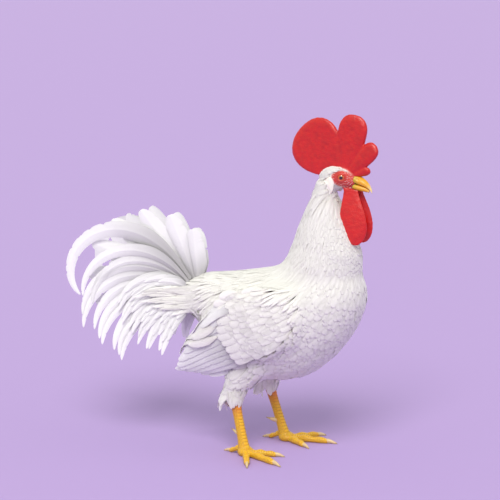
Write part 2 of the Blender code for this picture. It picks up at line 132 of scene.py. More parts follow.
def gridFaces(rows, columns, ring=False):
    # quads between rows of points, closed round each row if ring
    i = np.arange(rows - 1)[:, None] * columns
    last = columns if ring else columns - 1
    j = np.arange(last)[None]
    nextJ = (j + 1) % columns
    return np.stack([i + j, i + nextJ, i + columns + nextJ, i + columns + j], -1).reshape(-1, 4)


def tube(rings):
    # rings is rows x points x 3, closed at both ends by a fan about a middle point
    rows, count = rings.shape[:2]
    points = np.concatenate([rings.reshape(-1, 3), rings[0].mean(0)[None], rings[-1].mean(0)[None]])
    j = np.arange(count)
    k = (j + 1) % count
    first, last = rows * count, rows * count + 1
    base = (rows - 1) * count
    caps = [np.stack([k, j, j * 0 + first], -1), np.stack([base + j, base + k, j * 0 + last], -1)]
    return points, [gridFaces(rows, count, ring=True), *caps]


def board(place, across, along):
    # a closed board: place(u, v, face) takes arrays and gives points, with face -1 or 1
    u, v = np.meshgrid(np.linspace(0, 1, across + 1), np.linspace(0, 1, along + 1), indexing="ij")
    points = np.concatenate([place(u, v, face).reshape(-1, 3) for face in (-1, 1)])
    row = along + 1
    back = (across + 1) * row
    quads = gridFaces(across + 1, row)
    rim = [i * row for i in range(across + 1)] + [across * row + j for j in range(1, row)]
    rim += [i * row + along for i in reversed(range(across))] + list(reversed(range(1, along)))
    a = np.array(rim)
    b = np.roll(a, -1)
    return points, [quads[:, ::-1], quads + back, np.stack([a, b, back + b, back + a], -1)]


def ball(centre, radius):
    rings, pole = 20, 0.12  # the pole is the radians at each end that the fans close
    turn = np.linspace(pole, math.pi - pole, rings)[:, None]
    spin = np.linspace(0, 2 * math.pi, rings * 2, endpoint=False)[None]
    around = np.broadcast_arrays(np.cos(turn), np.sin(turn) * np.cos(spin), np.sin(turn) * np.sin(spin))
    return tube(np.asarray(centre) + np.stack(around, -1) * radius)


def makeObject(name, points, faceSets):
    mesh = bpy.data.meshes.new(name)
    sizes = np.concatenate([np.full(len(f), f.shape[1]) for f in faceSets])
    corners = np.concatenate([f.ravel() for f in faceSets]).astype(np.int32)
    mesh.vertices.add(len(points))
    mesh.vertices.foreach_set("co", np.asarray(points, np.float32).ravel())
    mesh.loops.add(len(corners))
    mesh.loops.foreach_set("vertex_index", corners)
    mesh.polygons.add(len(sizes))
    mesh.polygons.foreach_set("loop_start", np.concatenate([[0], np.cumsum(sizes)[:-1]]).astype(np.int32))
    mesh.update(calc_edges=True)
    mesh.shade_smooth()
    made = bpy.data.objects.new(name, mesh)
    bpy.context.scene.collection.objects.link(made)
    return made


def meshPoints(mesh):
    points = np.zeros(len(mesh.vertices) * 3, np.float32)
    mesh.vertices.foreach_get("co", points)
    return points.reshape(-1, 3).astype(float)


def setPoints(mesh, points):
    mesh.vertices.foreach_set("co", points.astype(np.float32).ravel())
    mesh.update()


def meshNormals(mesh):
    normals = np.zeros(len(mesh.vertices) * 3, np.float32)
    mesh.vertex_normals.foreach_get("vector", normals)
    return normals.reshape(-1, 3).astype(float)


def meshEdges(mesh):
    edges = np.zeros(len(mesh.edges) * 2, np.int32)
    mesh.edges.foreach_get("vertices", edges)
    return edges.reshape(-1, 2)


def relax(values, edges, steps, amount=0.5, keep=None):
    # evens out a value or a place over the mesh; keep is 1 where it must stay
    values = values.astype(float).copy()
    flat = values.reshape(len(values), -1)
    a, b = edges.T
    count = np.maximum(np.bincount(a, minlength=len(flat)) + np.bincount(b, minlength=len(flat)), 1)
    free = amount if keep is None else amount * (1 - keep)[:, None]
    for _ in range(steps):
        total = np.stack([
            np.bincount(a, flat[b, c], len(flat)) + np.bincount(b, flat[a, c], len(flat))
            for c in range(flat.shape[1])
        ], -1)
        flat += (total / count[:, None] - flat) * free
    return values


def union(name, parts, voxel, swell=0.0):
    # one closed mesh round all parts, as small even faces
    points, faceSets, start = [], [], 0
    for partPoints, partFaces in parts:
        points.append(partPoints)
        faceSets += [f + start for f in partFaces]
        start += len(partPoints)
    made = makeObject(name, np.concatenate(points), faceSets)
    if swell:
        setPoints(made.data, meshPoints(made.data) + meshNormals(made.data) * swell * mm)
    remesh = made.modifiers.new("Remesh", "REMESH")
    remesh.mode = "VOXEL"
    remesh.voxel_size = voxel * mm
    return applied(made)


def applied(made):
    graph = bpy.context.evaluated_depsgraph_get()
    mesh = bpy.data.meshes.new_from_object(made.evaluated_get(graph))
    mesh.name = made.name
    made.modifiers.clear()
    old = made.data
    made.data = mesh
    bpy.data.meshes.remove(old)
    mesh.shade_smooth()
    return made


def nodeMesh(name):
    mesh = frame["nodes"][name].data
    mesh.calc_loop_triangles()
    corners = np.zeros(len(mesh.loop_triangles) * 3, np.int32)
    mesh.loop_triangles.foreach_get("vertices", corners)
    points = meshPoints(mesh)
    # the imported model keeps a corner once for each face, so corners within a micron are joined
    keys = np.round(points / 1e-6).astype(np.int64)
    first, back = np.unique(keys, axis=0, return_index=True, return_inverse=True)[1:]
    return points[first], [back.ravel()[corners].reshape(-1, 3)]


def treeOf(points, faces):
    return BVHTree.FromPolygons(points.tolist(), faces.tolist())


def nearest(tree, points):
    # the closest places on a surface, its normals there and the faces that hold them
    found = [tree.find_nearest(Vector(p)) for p in points]
    spots = np.array([f[0] for f in found])
    return spots, np.array([f[1] for f in found]), np.array([f[2] for f in found])


def keepOn(made, name, values):
    # a value or a vector at each point, for the materials
    kind, field = ("FLOAT", "value") if values.ndim == 1 else ("FLOAT_VECTOR", "vector")
    made.data.attributes.new(name, kind, "POINT").data.foreach_set(field, values.astype(np.float32).ravel())


def ripple(points, scale, seed):
    # smooth noise from about -1 to 1, with swells about scale mm across
    return np.array([noise.noise(Vector(p) / (scale * mm) + Vector((seed * 7.3, 0, 0))) for p in points])


# materials


def linear(colour):
    # sRGB hex to linear
    parts = [int(colour[k : k + 2], 16) / 255 for k in (1, 3, 5)]
    return (*[c / 12.92 if c <= 0.04045 else ((c + 0.055) / 1.055) ** 2.4 for c in parts], 1)


def newMaterial(name, colour, roughness, **sockets):
    made = bpy.data.materials.new(name)
    made.use_nodes = True
    shader = made.node_tree.nodes["Principled BSDF"]
    shader.inputs["Base Color"].default_value = linear(colour)
    shader.inputs["Roughness"].default_value = roughness
    for socket, value in sockets.items():
        shader.inputs[socket.replace("_", " ")].default_value = value
    return made, made.node_tree, shader


def addNode(tree, kind, links={}, values={}, **settings):
    # one node with its settings, its fixed values and what is linked into it
    node = tree.nodes.new("ShaderNode" + kind)
    for name, value in settings.items():
        setattr(node, name, value)
    for socket, value in values.items():
        node.inputs[socket].default_value = value
    for socket, source in links.items():
        tree.links.new(source, node.inputs[socket])
    return node


plumageLook = {
    "vane": "#f7f6f1", "down": "#e5e2dc",  # small feathers, and their foot that shows in the gaps: partly the down's own off-white, partly painted shade where the feathers overlap
    "quillVane": "#f1f1f2", "quillDownAndShade": "#a9a7aa",  # the large feathers of wing and tail, with a grey foot: partly the down's own colour, partly painted shade where they overlap
    "barbPitch": 1.2, "quillBarbPitch": 1.7,  # mm; real barbs are 0.3 to 0.5 apart, drawn coarser to show
    "tints": (0.93, 1.0),  # how much of the vane's colour each feather takes
    "barbSlope": 0.9,  # how far a barb runs to the tip for its reach to the side
    "barbDepth": 0.075,  # mm
}


def plumage(name, colour, downAndShadeColour, barbPitch):
    # keratin feather, grown: matt with a faint sheen, and ribbed by the barbs on both sides of the shaft. Its
    # foot is painted darker, partly the down's own colour and partly painted shade where the feathers overlap
    made, tree, shader = newMaterial(
        name, colour, 0.62, Sheen_Weight=0.2, Sheen_Roughness=0.5,
        Subsurface_Weight=0.35, Subsurface_Scale=0.004,
    )
    shader.inputs["Subsurface Radius"].default_value = (1, 1, 1)
    vane = addNode(tree, "Attribute", attribute_name="vane")
    parts = addNode(tree, "SeparateXYZ", {0: vane.outputs["Vector"]})
    out = addNode(tree, "Math", {0: parts.outputs[0]}, operation="ABSOLUTE")
    lag = addNode(tree, "Math", {0: out.outputs[0]}, {1: plumageLook["barbSlope"]}, operation="MULTIPLY")
    run = addNode(tree, "Math", {0: parts.outputs[1], 1: lag.outputs[0]}, operation="SUBTRACT")
    turn = addNode(tree, "Math", {0: run.outputs[0]}, {1: 2 * math.pi / barbPitch}, operation="MULTIPLY")
    barb = addNode(tree, "Math", {0: turn.outputs[0]}, operation="SINE")
    bump = addNode(
        tree, "Bump", {"Height": barb.outputs[0]},
        {"Strength": 0.5, "Distance": plumageLook["barbDepth"] * mm},
    )
    tree.links.new(bump.outputs[0], shader.inputs["Normal"])
    # painted shade: the colour greys toward each feather's foot, where it lies under the others; partly the
    # down's own colour
    tone = addNode(tree, "Attribute", attribute_name="tone")
    shade = addNode(tree, "Mix", {0: tone.outputs["Fac"]}, data_type="RGBA")
    shade.inputs[6].default_value = linear(downAndShadeColour)
    shade.inputs[7].default_value = linear(colour)
    tree.links.new(shade.outputs[2], shader.inputs["Base Color"])
    return made


contourPlume = plumage(
    "white contour feather", plumageLook["vane"], plumageLook["down"], plumageLook["barbPitch"],
)
quillPlume = plumage(
    "white quill feather", plumageLook["quillVane"], plumageLook["quillDownAndShade"], plumageLook["quillBarbPitch"],
)


# feathers: closed thin vanes on a shaft, made together from arrays

vaneShape = {
    "shaftWidth": 0.07,  # of the half width
    "shaftTaper": 0.8, "slantTaper": 0.6,  # what is lost of them by the tip
    "downAndShadeUntil": (0.05, 0.7),  # shares of the length over which the greyer foot, partly down and partly painted shade, gives way to the vane
    "patch": 0.003, "patchMargin": 0.01,  # of the bake map
}


def vanes(name, material, centre, normal, half, columns, under, thick, rootUv, tint,
          camber=0.07, slant=0.5, shaft=0.0):
    # centre and normal: feathers x stations x 3; half: feathers x stations x 2, for the left and right vane
    # columns and under: how far out the edges run on the upper and the lower face, from -1 to 1
    count, stations = centre.shape[:2]
    run = unit(np.gradient(centre, axis=1))
    side = unit(np.cross(run, normal))
    lift = unit(np.cross(side, run))
    step = np.linalg.norm(np.diff(centre, axis=1), axis=-1)
    along = np.concatenate([np.zeros((count, 1)), np.cumsum(step, 1)], 1)
    share = along / along[:, -1:]
    ring = [(u, 1) for u in columns] + [(u, -1) for u in reversed(under)]
    rows, vaneAt, uvAt = [], [], []
    for u, face in ring:
        width = half[:, :, 0 if u < 0 else 1] * abs(u)
        ridge = shaft * np.exp(-((u / vaneShape["shaftWidth"]) ** 2)) * (1 - vaneShape["shaftTaper"] * share)
        deep = face * (thick * (1 - u * u) + ridge) / 2 * mm
        rows.append(
            centre
            + side * (np.sign(u) * width)[..., None]
            + run * (width * slant * (1 - vaneShape["slantTaper"] * share))[..., None]
            + lift * (deep - camber * width * abs(u))[..., None]
        )
        vaneAt.append(np.stack([np.sign(u) * width / mm, along / mm + width / mm * slant, share], -1))
        uvAt.append(np.stack([np.full_like(share, u / 2), share - 0.5], -1))
    points = np.stack(rows, 2)
    size = len(ring)
    quads = gridFaces(stations, size, ring=True)
    start = np.arange(count)[:, None, None] * stations * size
    foot = np.arange(size)[None, ::-1]
    tip = np.arange(size)[None] + (stations - 1) * size
    faceSets = [(f[None] + start).reshape(-1, f.shape[-1]) for f in (quads, foot, tip)]
    made = makeObject(name, points.reshape(-1, 3), faceSets)
    keepOn(made, "vane", np.stack(vaneAt, 2).reshape(-1, 3))
    # painted shade, partly the down's own colour: each feather greys toward its foot, where it lies under the
    # others
    white = smooth(*vaneShape["downAndShadeUntil"], share) * tint[:, None]
    keepOn(made, "tone", np.repeat(white.ravel(), size))
    margin = vaneShape["patchMargin"]
    uv = (margin + (1 - 2 * margin) * rootUv)[:, None, None] + np.stack(uvAt, 2) * vaneShape["patch"]
    corners = np.zeros(len(made.data.loops), np.int32)
    made.data.loops.foreach_get("vertex_index", corners)
    bakeMap = made.data.uv_layers.new(name="OFBake")
    bakeMap.data.foreach_set("uv", uv.reshape(-1, 2)[corners].astype(np.float32).ravel())
    ends = meshEdges(made.data)
    column = ends % size
    rim = (column[:, 0] == column[:, 1]) & ((column[:, 0] == 0) | (column[:, 0] == len(columns) - 1))
    sharp = made.data.attributes.new("sharp_edge", "BOOLEAN", "EDGE")  # so that it shades flat to the edge
    sharp.data.foreach_set("value", rim)
    made.data.materials.append(material)
    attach(made, "root")
    made.data.update()
    print(name, count, "feathers,", sum((f.shape[1] - 2) * len(f) for f in faceSets), "triangles")
    return made


def tipward(stations):
    # shares of a feather's length, closer together at the rounded tip
    t = np.linspace(0, 1, stations)
    return 0.55 * t + 0.45 * np.sin(t * math.pi / 2)


def widthAlong(share, point):
    # half width of a vane along its length: point 0 is a rounded body feather, 1 a lanceolate hackle
    rise = 0.3 + 0.7 * smooth(0, 0.35, share)
    rounded = np.sqrt(np.clip(1 - np.clip((share - 0.62) / 0.38, 0, 1) ** 2.4, 0, 1))
    drawn = np.clip(1 - share, 0, 1) ** 0.62 * 1.25
    return rise * (rounded * (1 - point) + np.minimum(drawn, 1) * point) + 0.015


# the skin: head with comb, wattles and ear lobes

headShape = {
    "stations": [  # ahead, crown, throat, half width
        (-35, 3, -9, 7), (-31, 9, -16, 12), (-20, 15, -20.5, 15.5), (-7, 17.5, -20.5, 16.5),
        (4, 17, -18.5, 15.5), (13, 13.5, -15.5, 12.6), (21, 8.6, -11.5, 8.4),
    ],
    "voxel": 0.85,
    "eyeRadius": 7.6,
    "lidRadius": 8.3,  # the flesh round the eye
    "socketRadius": 6.8,  # the skin behind the eyeball
}
combShape = {
    # degrees above straight ahead, reach in mm from the middle of the head, half width in degrees
    "lobes": [(29, 46, 13), (54, 74, 18), (88, 97, 23), (143, 103, 42)],
    "sweep": (19, 190),
    "root": 13,
    "thickAtRoot": 13.0,
    "thickAtEdge": 9.0,
    "rim": 0.14,  # share of the height over which the edge rounds off
    "ends": 0.04,  # and of the sweep, at the front and the back
    "furrow": 0.34,  # how much thinner it is in the furrows between the lobes
    "furrowWidth": 4.5,  # degrees
    "sway": 1.3,  # mm that the blade waves from side to side
}
wattleShape = {
    "root": (17, 7, -12), "length": 82, "width": 41, "thick": 8.0,
    "lean": 0.10, "swing": 0.12,  # outwards and forwards for its length
    "curl": 1.5, "cup": -0.8,  # mm that the free edges wave, and that they stand out
}
lobeShape = {"place": (-14, 16.0, -12.5), "length": 25, "width": 15, "thick": 5, "slope": 0.18}


def oval(sides, across, above, below):
    turn = np.linspace(0, 2 * math.pi, sides, endpoint=False)
    up = np.sin(turn)
    return across * np.cos(turn), np.where(up > 0, above, below) * up


def headLoft(stations, steps, sides):
    rings = []
    for ahead, top, bottom, half in between(stations, steps):
        across, up = oval(sides, half, (top - bottom) / 2, (top - bottom) / 2)
        rings.append(headPoint(ahead, across, (top + bottom) / 2 + up))
    return tube(np.array(rings))


def combReach(degrees):
    root = combShape["root"]
    reach = np.full_like(degrees, root + 12)
    for middle, length, half in combShape["lobes"]:
        off = np.clip(np.abs(degrees - middle) / half, 0, 1)
        reach = np.maximum(reach, root + (length - root) * (1 - off**2.6) ** 0.42 * (off < 1))
    return reach


def roundOff(place, edge, width):
    # from 1 down to 0 at an edge, as a quarter of an ellipse
    return np.sqrt(np.clip(1 - np.clip((place - (edge - width)) / width, 0, 1) ** 2, 0, 1))


def combPlace(u, v, face):
    low, high = combShape["sweep"]
    degrees = low + (high - low) * u
    root = combShape["root"]
    v = 1 - (1 - v) ** 1.6  # rows lie closer together at the edge
    radius = root + (combReach(degrees) - root) * v
    furrow = np.zeros_like(degrees)
    for a, b in zip(combShape["lobes"], combShape["lobes"][1:]):
        valley = (a[0] + a[2] + b[0] - b[2]) / 2
        furrow = np.maximum(furrow, np.exp(-(((degrees - valley) / combShape["furrowWidth"]) ** 2)))
    thick = combShape["thickAtRoot"] + (combShape["thickAtEdge"] - combShape["thickAtRoot"]) * v
    thick = thick * (1 - combShape["furrow"] * furrow * v)
    rounded = roundOff(v, 1, combShape["rim"]) * roundOff(abs(u - 0.5), 0.5, combShape["ends"])
    sway = combShape["sway"] * v**2 * np.sin(np.radians(degrees) * 5.3 + 1)
    turn = np.radians(degrees)
    return headPoint(radius * np.cos(turn), face * thick / 2 * rounded + sway, radius * np.sin(turn) - 1)


def hanging(sign):
    share = np.linspace(0, 1, 40)
    share = 1 - (1 - share) ** 1.4
    swell = np.sin(math.pi * (0.10 + 0.895 * share**1.6)) ** 0.52
    length, lean, swing = [wattleShape[n] for n in ("length", "lean", "swing")]
    width, thick = wattleShape["width"] / 2, wattleShape["thick"] / 2
    root = wattleShape["root"]
    top = headPoint(root[0], sign * root[1], root[2])
    rings = []
    for s, size in zip(share, swell):
        ahead, across = oval(36, width * size, thick * size, thick * size)
        edge = (ahead / 17) ** 2
        curl = wattleShape["curl"] * math.sin(s * 5) * edge
        cup = wattleShape["cup"] * s * edge
        centre = top + np.array([sign * lean * length * s, -swing * length * s, -length * s]) * mm
        rings.append(centre + np.stack([across + sign * (curl + cup), -ahead, 0 * ahead], -1) * mm)
    return tube(np.array(rings))


def earLobe(sign):
    rings = []
    for turn in np.linspace(0.1, math.pi - 0.1, 24):
        width = lobeShape["width"] / 2 * math.sin(turn) * (1.08 - 0.06 * turn)
        deep = lobeShape["thick"] / 2 * math.sin(turn) ** 0.6
        up = lobeShape["length"] / 2 * math.cos(turn)
        ahead, across = oval(24, width, deep, deep)
        place = lobeShape["place"]
        back = place[0] + ahead - lobeShape["slope"] * up
        rings.append(headPoint(back, sign * (place[1] + across), place[2] + up))
    return tube(np.array(rings))


def eyeAxis(sign):
    return unit(headLeft * sign * 0.93 + headAhead * 0.34 + headUp * 0.06)


def closeness(points, parts, reach):
    # 1 on the surface of these parts and 0 beyond reach mm
    away = np.full(len(points), 1.0)
    for spots, faceSets in parts:
        tree = BVHTree.FromPolygons(spots.tolist(), [f for faces in faceSets for f in faces.tolist()])
        found = [tree.find_nearest(Vector(p), 0.006) for p in points]
        away = np.minimum(away, [1.0 if f[0] is None else f[3] for f in found])
    return 1 - smooth(reach * 0.4, reach, away / mm)


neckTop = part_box("neck_upper")[1].z
headSkin = {
    "neckEnd": 42,  # mm below the neck's top that the head's skin ends, inside the neck
    "neckDepth": 4.0,  # of the feathers there
    "folds": (0.22, 2.3), "brow": 0.9, "gape": 0.9, "lip": 0.45,  # mm deep or high, and mm between folds
    "grain": (0.10, 1.6), "swells": (0.30, 5),  # mm high, mm across
}


def shortened(part, low):
    # all that is lower is drawn up and in, to end inside the neck
    points, faceSets = part
    deep = points[:, 2] < low
    middle = points[abs(points[:, 2] - low) < 14 * mm].mean(0)
    points = points.copy()
    points[deep] = middle + (points[deep] - middle) * 0.45
    points[deep, 2] = low
    return points, faceSets


def ridge(value, middle, width):
    return np.exp(-(((value - middle) / width) ** 2))


def faceRelief(points, head):
    # mm out along the normals: soft folds round the lids, a brow, and the groove of the gape
    push = np.zeros(len(points))
    ahead, left, up = head.T
    for side, sign in sides.items():
        away = np.linalg.norm(points - eyeCentre[side], axis=1) / mm
        flank = left * sign > 4
        high, pitch = headSkin["folds"]
        folds = np.sin(away * 2 * math.pi / pitch) * smooth(8.6, 9.4, away) * (1 - smooth(12, 16, away))
        push += high * folds * flank
        overEye = (1 - smooth(8, 16, abs(ahead - 2))) * flank
        push += headSkin["brow"] * ridge(up + 0.16 * ahead, 11.5, 2.2) * overEye
        line = -9.4 + 3.2 * np.clip((ahead - 5) / 14, 0, 1)
        inGape = smooth(3, 7, ahead) * flank * (up > -14) * (ahead < 23)
        push -= headSkin["gape"] * ridge(up, line, 0.9) * inGape
        push += headSkin["lip"] * ridge(up, line + 2.2, 1.2) * inGape
    return push


def behindEyes(points):
    # the skin goes behind the eyeball inside the ring of the lids
    for side, sign in sides.items():
        fromEye = points - eyeCentre[side]
        away = np.linalg.norm(fromEye, axis=1)
        angle = np.degrees(np.arccos(np.clip((fromEye @ eyeAxis(sign)) / away, -1, 1)))
        target = np.where(angle < 50, headShape["socketRadius"] * mm, away)
        blend = np.where(away < 10.5 * mm, 1 - smooth(44, 56, angle), 0)
        points = eyeCentre[side] + fromEye * (1 + blend * (np.minimum(target, away) / away - 1))[:, None]
    return points


def buildHead():
    core = headLoft(headShape["stations"], 6, 48)
    comb = board(combPlace, 170, 14)
    wattles = [hanging(sign) for sign in sides.values()]
    lobes = [earLobe(sign) for sign in sides.values()]
    lids = [ball(eyeCentre[side], headShape["lidRadius"] * mm) for side in sides]
    neck = shortened(nodeMesh("neck_upper"), neckTop - headSkin["neckEnd"] * mm)
    shell = union("headShell", [core, comb, *wattles, *lobes, *lids, neck], headShape["voxel"])
    points, edges = meshPoints(shell.data), meshEdges(shell.data)
    points = relax(points, edges, 4, 0.5)
    head = toHead(points)
    combZone = relax(closeness(points, [comb], 1.6), edges, 6)
    wattleZone = relax(closeness(points, wattles, 1.6) * (head[:, 2] < -11), edges, 5)
    lobeZone = relax(closeness(points, lobes, 1.2), edges, 3)
    bare = np.clip(combZone + wattleZone + lobeZone, 0, 1)
    onNeck = smooth(neckTop, neckTop - 20 * mm, points[:, 2]) * (1 - bare)
    onNeck *= 1 + 0.6 * smooth(neckTop - 22 * mm, neckTop - 34 * mm, points[:, 2])  # deeper where it ends
    setPoints(shell.data, points)
    normals = meshNormals(shell.data)
    high, across = headSkin["grain"]
    push = faceRelief(points, head) + high * ripple(points, across, 1) * (1 - lobeZone * 0.6)
    high, across = headSkin["swells"]
    push += high * ripple(points, across, 2) * np.maximum(combZone, wattleZone)
    push -= headSkin["neckDepth"] * onNeck
    setPoints(shell.data, behindEyes(points + normals * push[:, None] * mm))
    return shell, {"comb": combZone, "wattle": wattleZone, "lobe": lobeZone}


lidShape = {
    "inner": 38,  # degrees from the gaze to the edge of the opening
    "almond": 3.5, "flatTop": 1.5,  # degrees more to the front and back, and less above
    # across the ring: degrees out and mm from the eye's centre, from the edge over the roll and into the face
    "across": [(-1, 7.25), (-1.5, 7.75), (-0.5, 8.3), (2.5, 8.75), (6.5, 8.95), (10, 8.75), (12, 8.5),
               (14.5, 8.75), (18, 8.75), (21, 8.45), (24, 8.55), (28, 8.3), (33, 7.8), (38, 7.0)],
    "steps": 96,
}


def lid(side):
    # a rolled ring of skin round the opening, longer from front to back than it is high
    sign, steps = sides[side], lidShape["steps"]
    axis = eyeAxis(sign)
    flat = unit(headAhead - axis * (headAhead @ axis))
    high = unit(headUp - axis * (headUp @ axis))
    spin = np.linspace(0, 2 * math.pi, steps, endpoint=False)
    stretch = lidShape["almond"] * np.cos(2 * spin) - lidShape["flatTop"] * np.maximum(np.sin(spin), 0)
    around = flat * np.cos(spin)[:, None] + high * np.sin(spin)[:, None]
    rings = []
    for more, away in lidShape["across"]:
        angle = np.radians(lidShape["inner"] + stretch * (1 - max(more, 0) / 60) + more)[:, None]
        rings.append(eyeCentre[side] + (axis * np.cos(angle) + around * np.sin(angle)) * away * mm)
    # closed as a solid ring: the outer run goes back under the skin to the inner edge
    j = np.arange(steps)
    k = (j + 1) % steps
    last = (len(rings) - 1) * steps
    closing = np.stack([last + j, last + k, k, j], -1)
    return np.concatenate(rings), [gridFaces(len(rings), steps, ring=True), closing]


headShell, headZones = buildHead()
print("head shell", len(headShell.data.polygons), "faces")


# the skin of the body, under the feathers

bodyShape = {
    "voxel": 3.2,
    "swell": 0.45,  # mm; closes the thin cuts between the pieces
    "bridge": 9,  # mm; feathers lie across gaps up to twice as wide
    "bridgeVoxel": 4.0,
    # how deep the feathers lie over the skin, in mm
    "coat": {
        "neck_upper": 4.0, "neck_lower": 6.0, "breast": 7.0, "back": 5.5, "belly": 7.0, "saddle": 5.5,
        "thigh_left": 5.0, "thigh_right": 5.0, "wing_left_bow": 3.0, "wing_right_bow": 3.0,
    },
    # more that the feathers of the body lie across
    "beside": {
        "wing_left_secondaries": 1.0, "wing_right_secondaries": 1.0,
        "tail_coverts_left": 1.0, "tail_coverts_right": 1.0,
    },
}


def hull(name, depths, voxel, swell):
    # the union of CAD pieces, drawn in by the swell and by each piece's depth
    meshes = [nodeMesh(piece) for piece in depths]
    shell = union(name, meshes, voxel, swell=swell)
    points, edges = meshPoints(shell.data), meshEdges(shell.data)
    points = relax(points, edges, 6, 0.5)
    owner = np.concatenate([np.full(len(m[1][0]), k) for k, m in enumerate(meshes)])
    starts = np.concatenate([[0], np.cumsum([len(m[0]) for m in meshes])])
    allFaces = np.concatenate([m[1][0] + start for m, start in zip(meshes, starts)])
    tree = treeOf(np.concatenate([m[0] for m in meshes]), allFaces)
    weights = relax(np.eye(len(depths))[owner[nearest(tree, points)[2]]], edges, 10)
    setPoints(shell.data, points)
    normals = relax(meshNormals(shell.data), edges, 3)
    coat = weights @ np.array(list(depths.values()))
    inward = coat + swell - bodyShape["swell"]
    points = relax(points - unit(normals) * inward[:, None] * mm, edges, 3)
    setPoints(shell.data, points)
    return shell, weights, coat


zoneNames = list(bodyShape["coat"])
bodyShell, zoneWeights, zoneCoat = hull(
    "bodyShell", bodyShape["coat"], bodyShape["voxel"], bodyShape["swell"],
)
print("body shell", len(bodyShell.data.polygons), "faces")


# the skin of the legs, with scutes

soles = {m["name"]: np.array(m["pos_m"]) for m in frame["record"]["mounts"]}
legShape = {
    "foot": {side: soles["sole_" + side] for side in sides},
    "footYaw": {"left": 4, "right": 30},
    "hock": {"left": (-14, 42, 98), "right": (-38, 44, 96)},  # ahead, left or right, up
    "palm": (12.5, 8.2),  # radius and height of the pad
    "toeRoot": 7, "backToeUp": 9,  # mm from the pad's middle, and up it for the back toe
    "toeTaper": 0.28, "joints": 0.10, "toeFlat": 0.74, "arch": 0.6,
    "shank": [  # share of the way up, fore and aft, across
        (0.05, 9.0, 9.5), (0.14, 8.6, 8.2), (0.28, 7.6, 6.6), (0.5, 7.2, 6.2), (0.75, 7.8, 6.8),
        (0.92, 10.4, 9.0), (1.02, 11.2, 9.8), (1.12, 9.0, 8.0), (1.2, 5.0, 5.0),
    ],
    "toes": {  # degrees out, length, thickness, claw
        "middle": (0, 66, 12.0, 15), "inner": (-40, 47, 11.2, 13),
        "outer": (38, 55, 11.0, 13), "back": (168, 30, 9.6, 12),
    },
    "sides": {"shank": 32, "toe": 24}, "steps": {"shank": 24, "palm": 16, "toe": 90},
    "voxel": 0.8,
    "redFrom": (50, 85),  # mm up, where the yellow turns redder to the hock
    "bulge": {"scute": 0.55, "scale": 0.22}, "scale": 1.8,  # mm; small scales cover the sides
    "scute": {"shank": 4.8, "toe": 3.6},  # mm from one scute to the next
    "scuteWidth": {"shank": 8.5, "toe": 5.2},  # mm round the limb, to each side of the front
}


def footPoint(side, outward, along, up, across):
    sign, turn = sides[side], math.radians(outward)
    ahead = along * math.cos(turn) - across * math.sin(turn)
    out = along * math.sin(turn) + across * math.cos(turn)
    foot = legShape["foot"][side]
    parts = np.broadcast_arrays(foot[0] + sign * out * mm, foot[1] - ahead * mm, np.maximum(up, 0) * mm)
    return np.stack(parts, -1)


def toeSection(thick, share):
    # radius and height of the middle, swelling at the joints
    swell = 1 + legShape["joints"] * math.cos(5 * math.pi * share)
    radius = thick / 2 * (1 - legShape["toeTaper"] * share) * swell
    return radius, radius * legShape["toeFlat"] + legShape["arch"] * math.sin(math.pi * share)


def footMiddle(side):
    # the sole's centre, ahead and outward
    sign, foot = sides[side], legShape["foot"][side]
    return (zeroY - foot[1]) / mm, sign * (foot[0] - midX) / mm


def legParts(side):
    # closed lofts with, at each point, mm along the limb, mm round it from the front,
    # and 0 on the shank, 1 on a toe and 2 on the sole
    sign = sides[side]
    foot, hock = footMiddle(side), legShape["hock"][side]
    parts = []

    def addPart(rings, limb):
        parts.append((tube(np.array(rings)), np.array(limb)))

    count = legShape["sides"]["shank"]
    rings, limb = [], []
    for share, fore, across in between(legShape["shank"], legShape["steps"]["shank"]):
        ahead = foot[0] + (hock[0] - foot[0]) * share
        out = foot[1] + (hock[1] - foot[1]) * share
        b, a = oval(count, across, fore, fore)
        rings.append(world(ahead + a, sign * (out + b), hock[2] * share))
        around = np.arctan2(b, a) * (fore + across) / 2
        limb.append(np.stack([np.full(count, hock[2] * share), around, np.zeros(count)], -1))
    addPart(rings, limb)
    rings, limb = [], []
    size, high = legShape["palm"]
    for turn in np.linspace(0.15, math.pi - 0.15, legShape["steps"]["palm"]):
        reach = size * math.sin(turn)
        a, b = oval(count, reach, reach, reach)
        rings.append(footPoint(side, 0, a, high * 0.72 - high * math.cos(turn), b))
        limb.append(np.stack([a, b, np.full(count, 2.0)], -1))
    addPart(rings, limb)
    count, root = legShape["sides"]["toe"], legShape["toeRoot"]
    for name, (out, length, thick, _) in legShape["toes"].items():
        rings, limb = [], []
        for share in np.linspace(0, 1, legShape["steps"]["toe"]):
            along = root + (length - root) * share
            radius, height = toeSection(thick, share)
            height += (legShape["backToeUp"] if name == "back" else 0) * (1 - share) ** 1.5
            radius *= 0.82 + 0.18 * min(1, 4 * share)
            # rounds off at the tip
            radius *= math.sqrt(max(0.05, 1 - max(0, (share - 0.93) / 0.07) ** 2 * 0.55))
            a, b = oval(count, radius, radius, radius * 0.92)
            rings.append(footPoint(side, legShape["footYaw"][side] + out, along, height + b, a))
            limb.append(np.stack([np.full(count, along), np.arctan2(a, b) * radius, np.ones(count)], -1))
        addPart(rings, limb)
    return parts


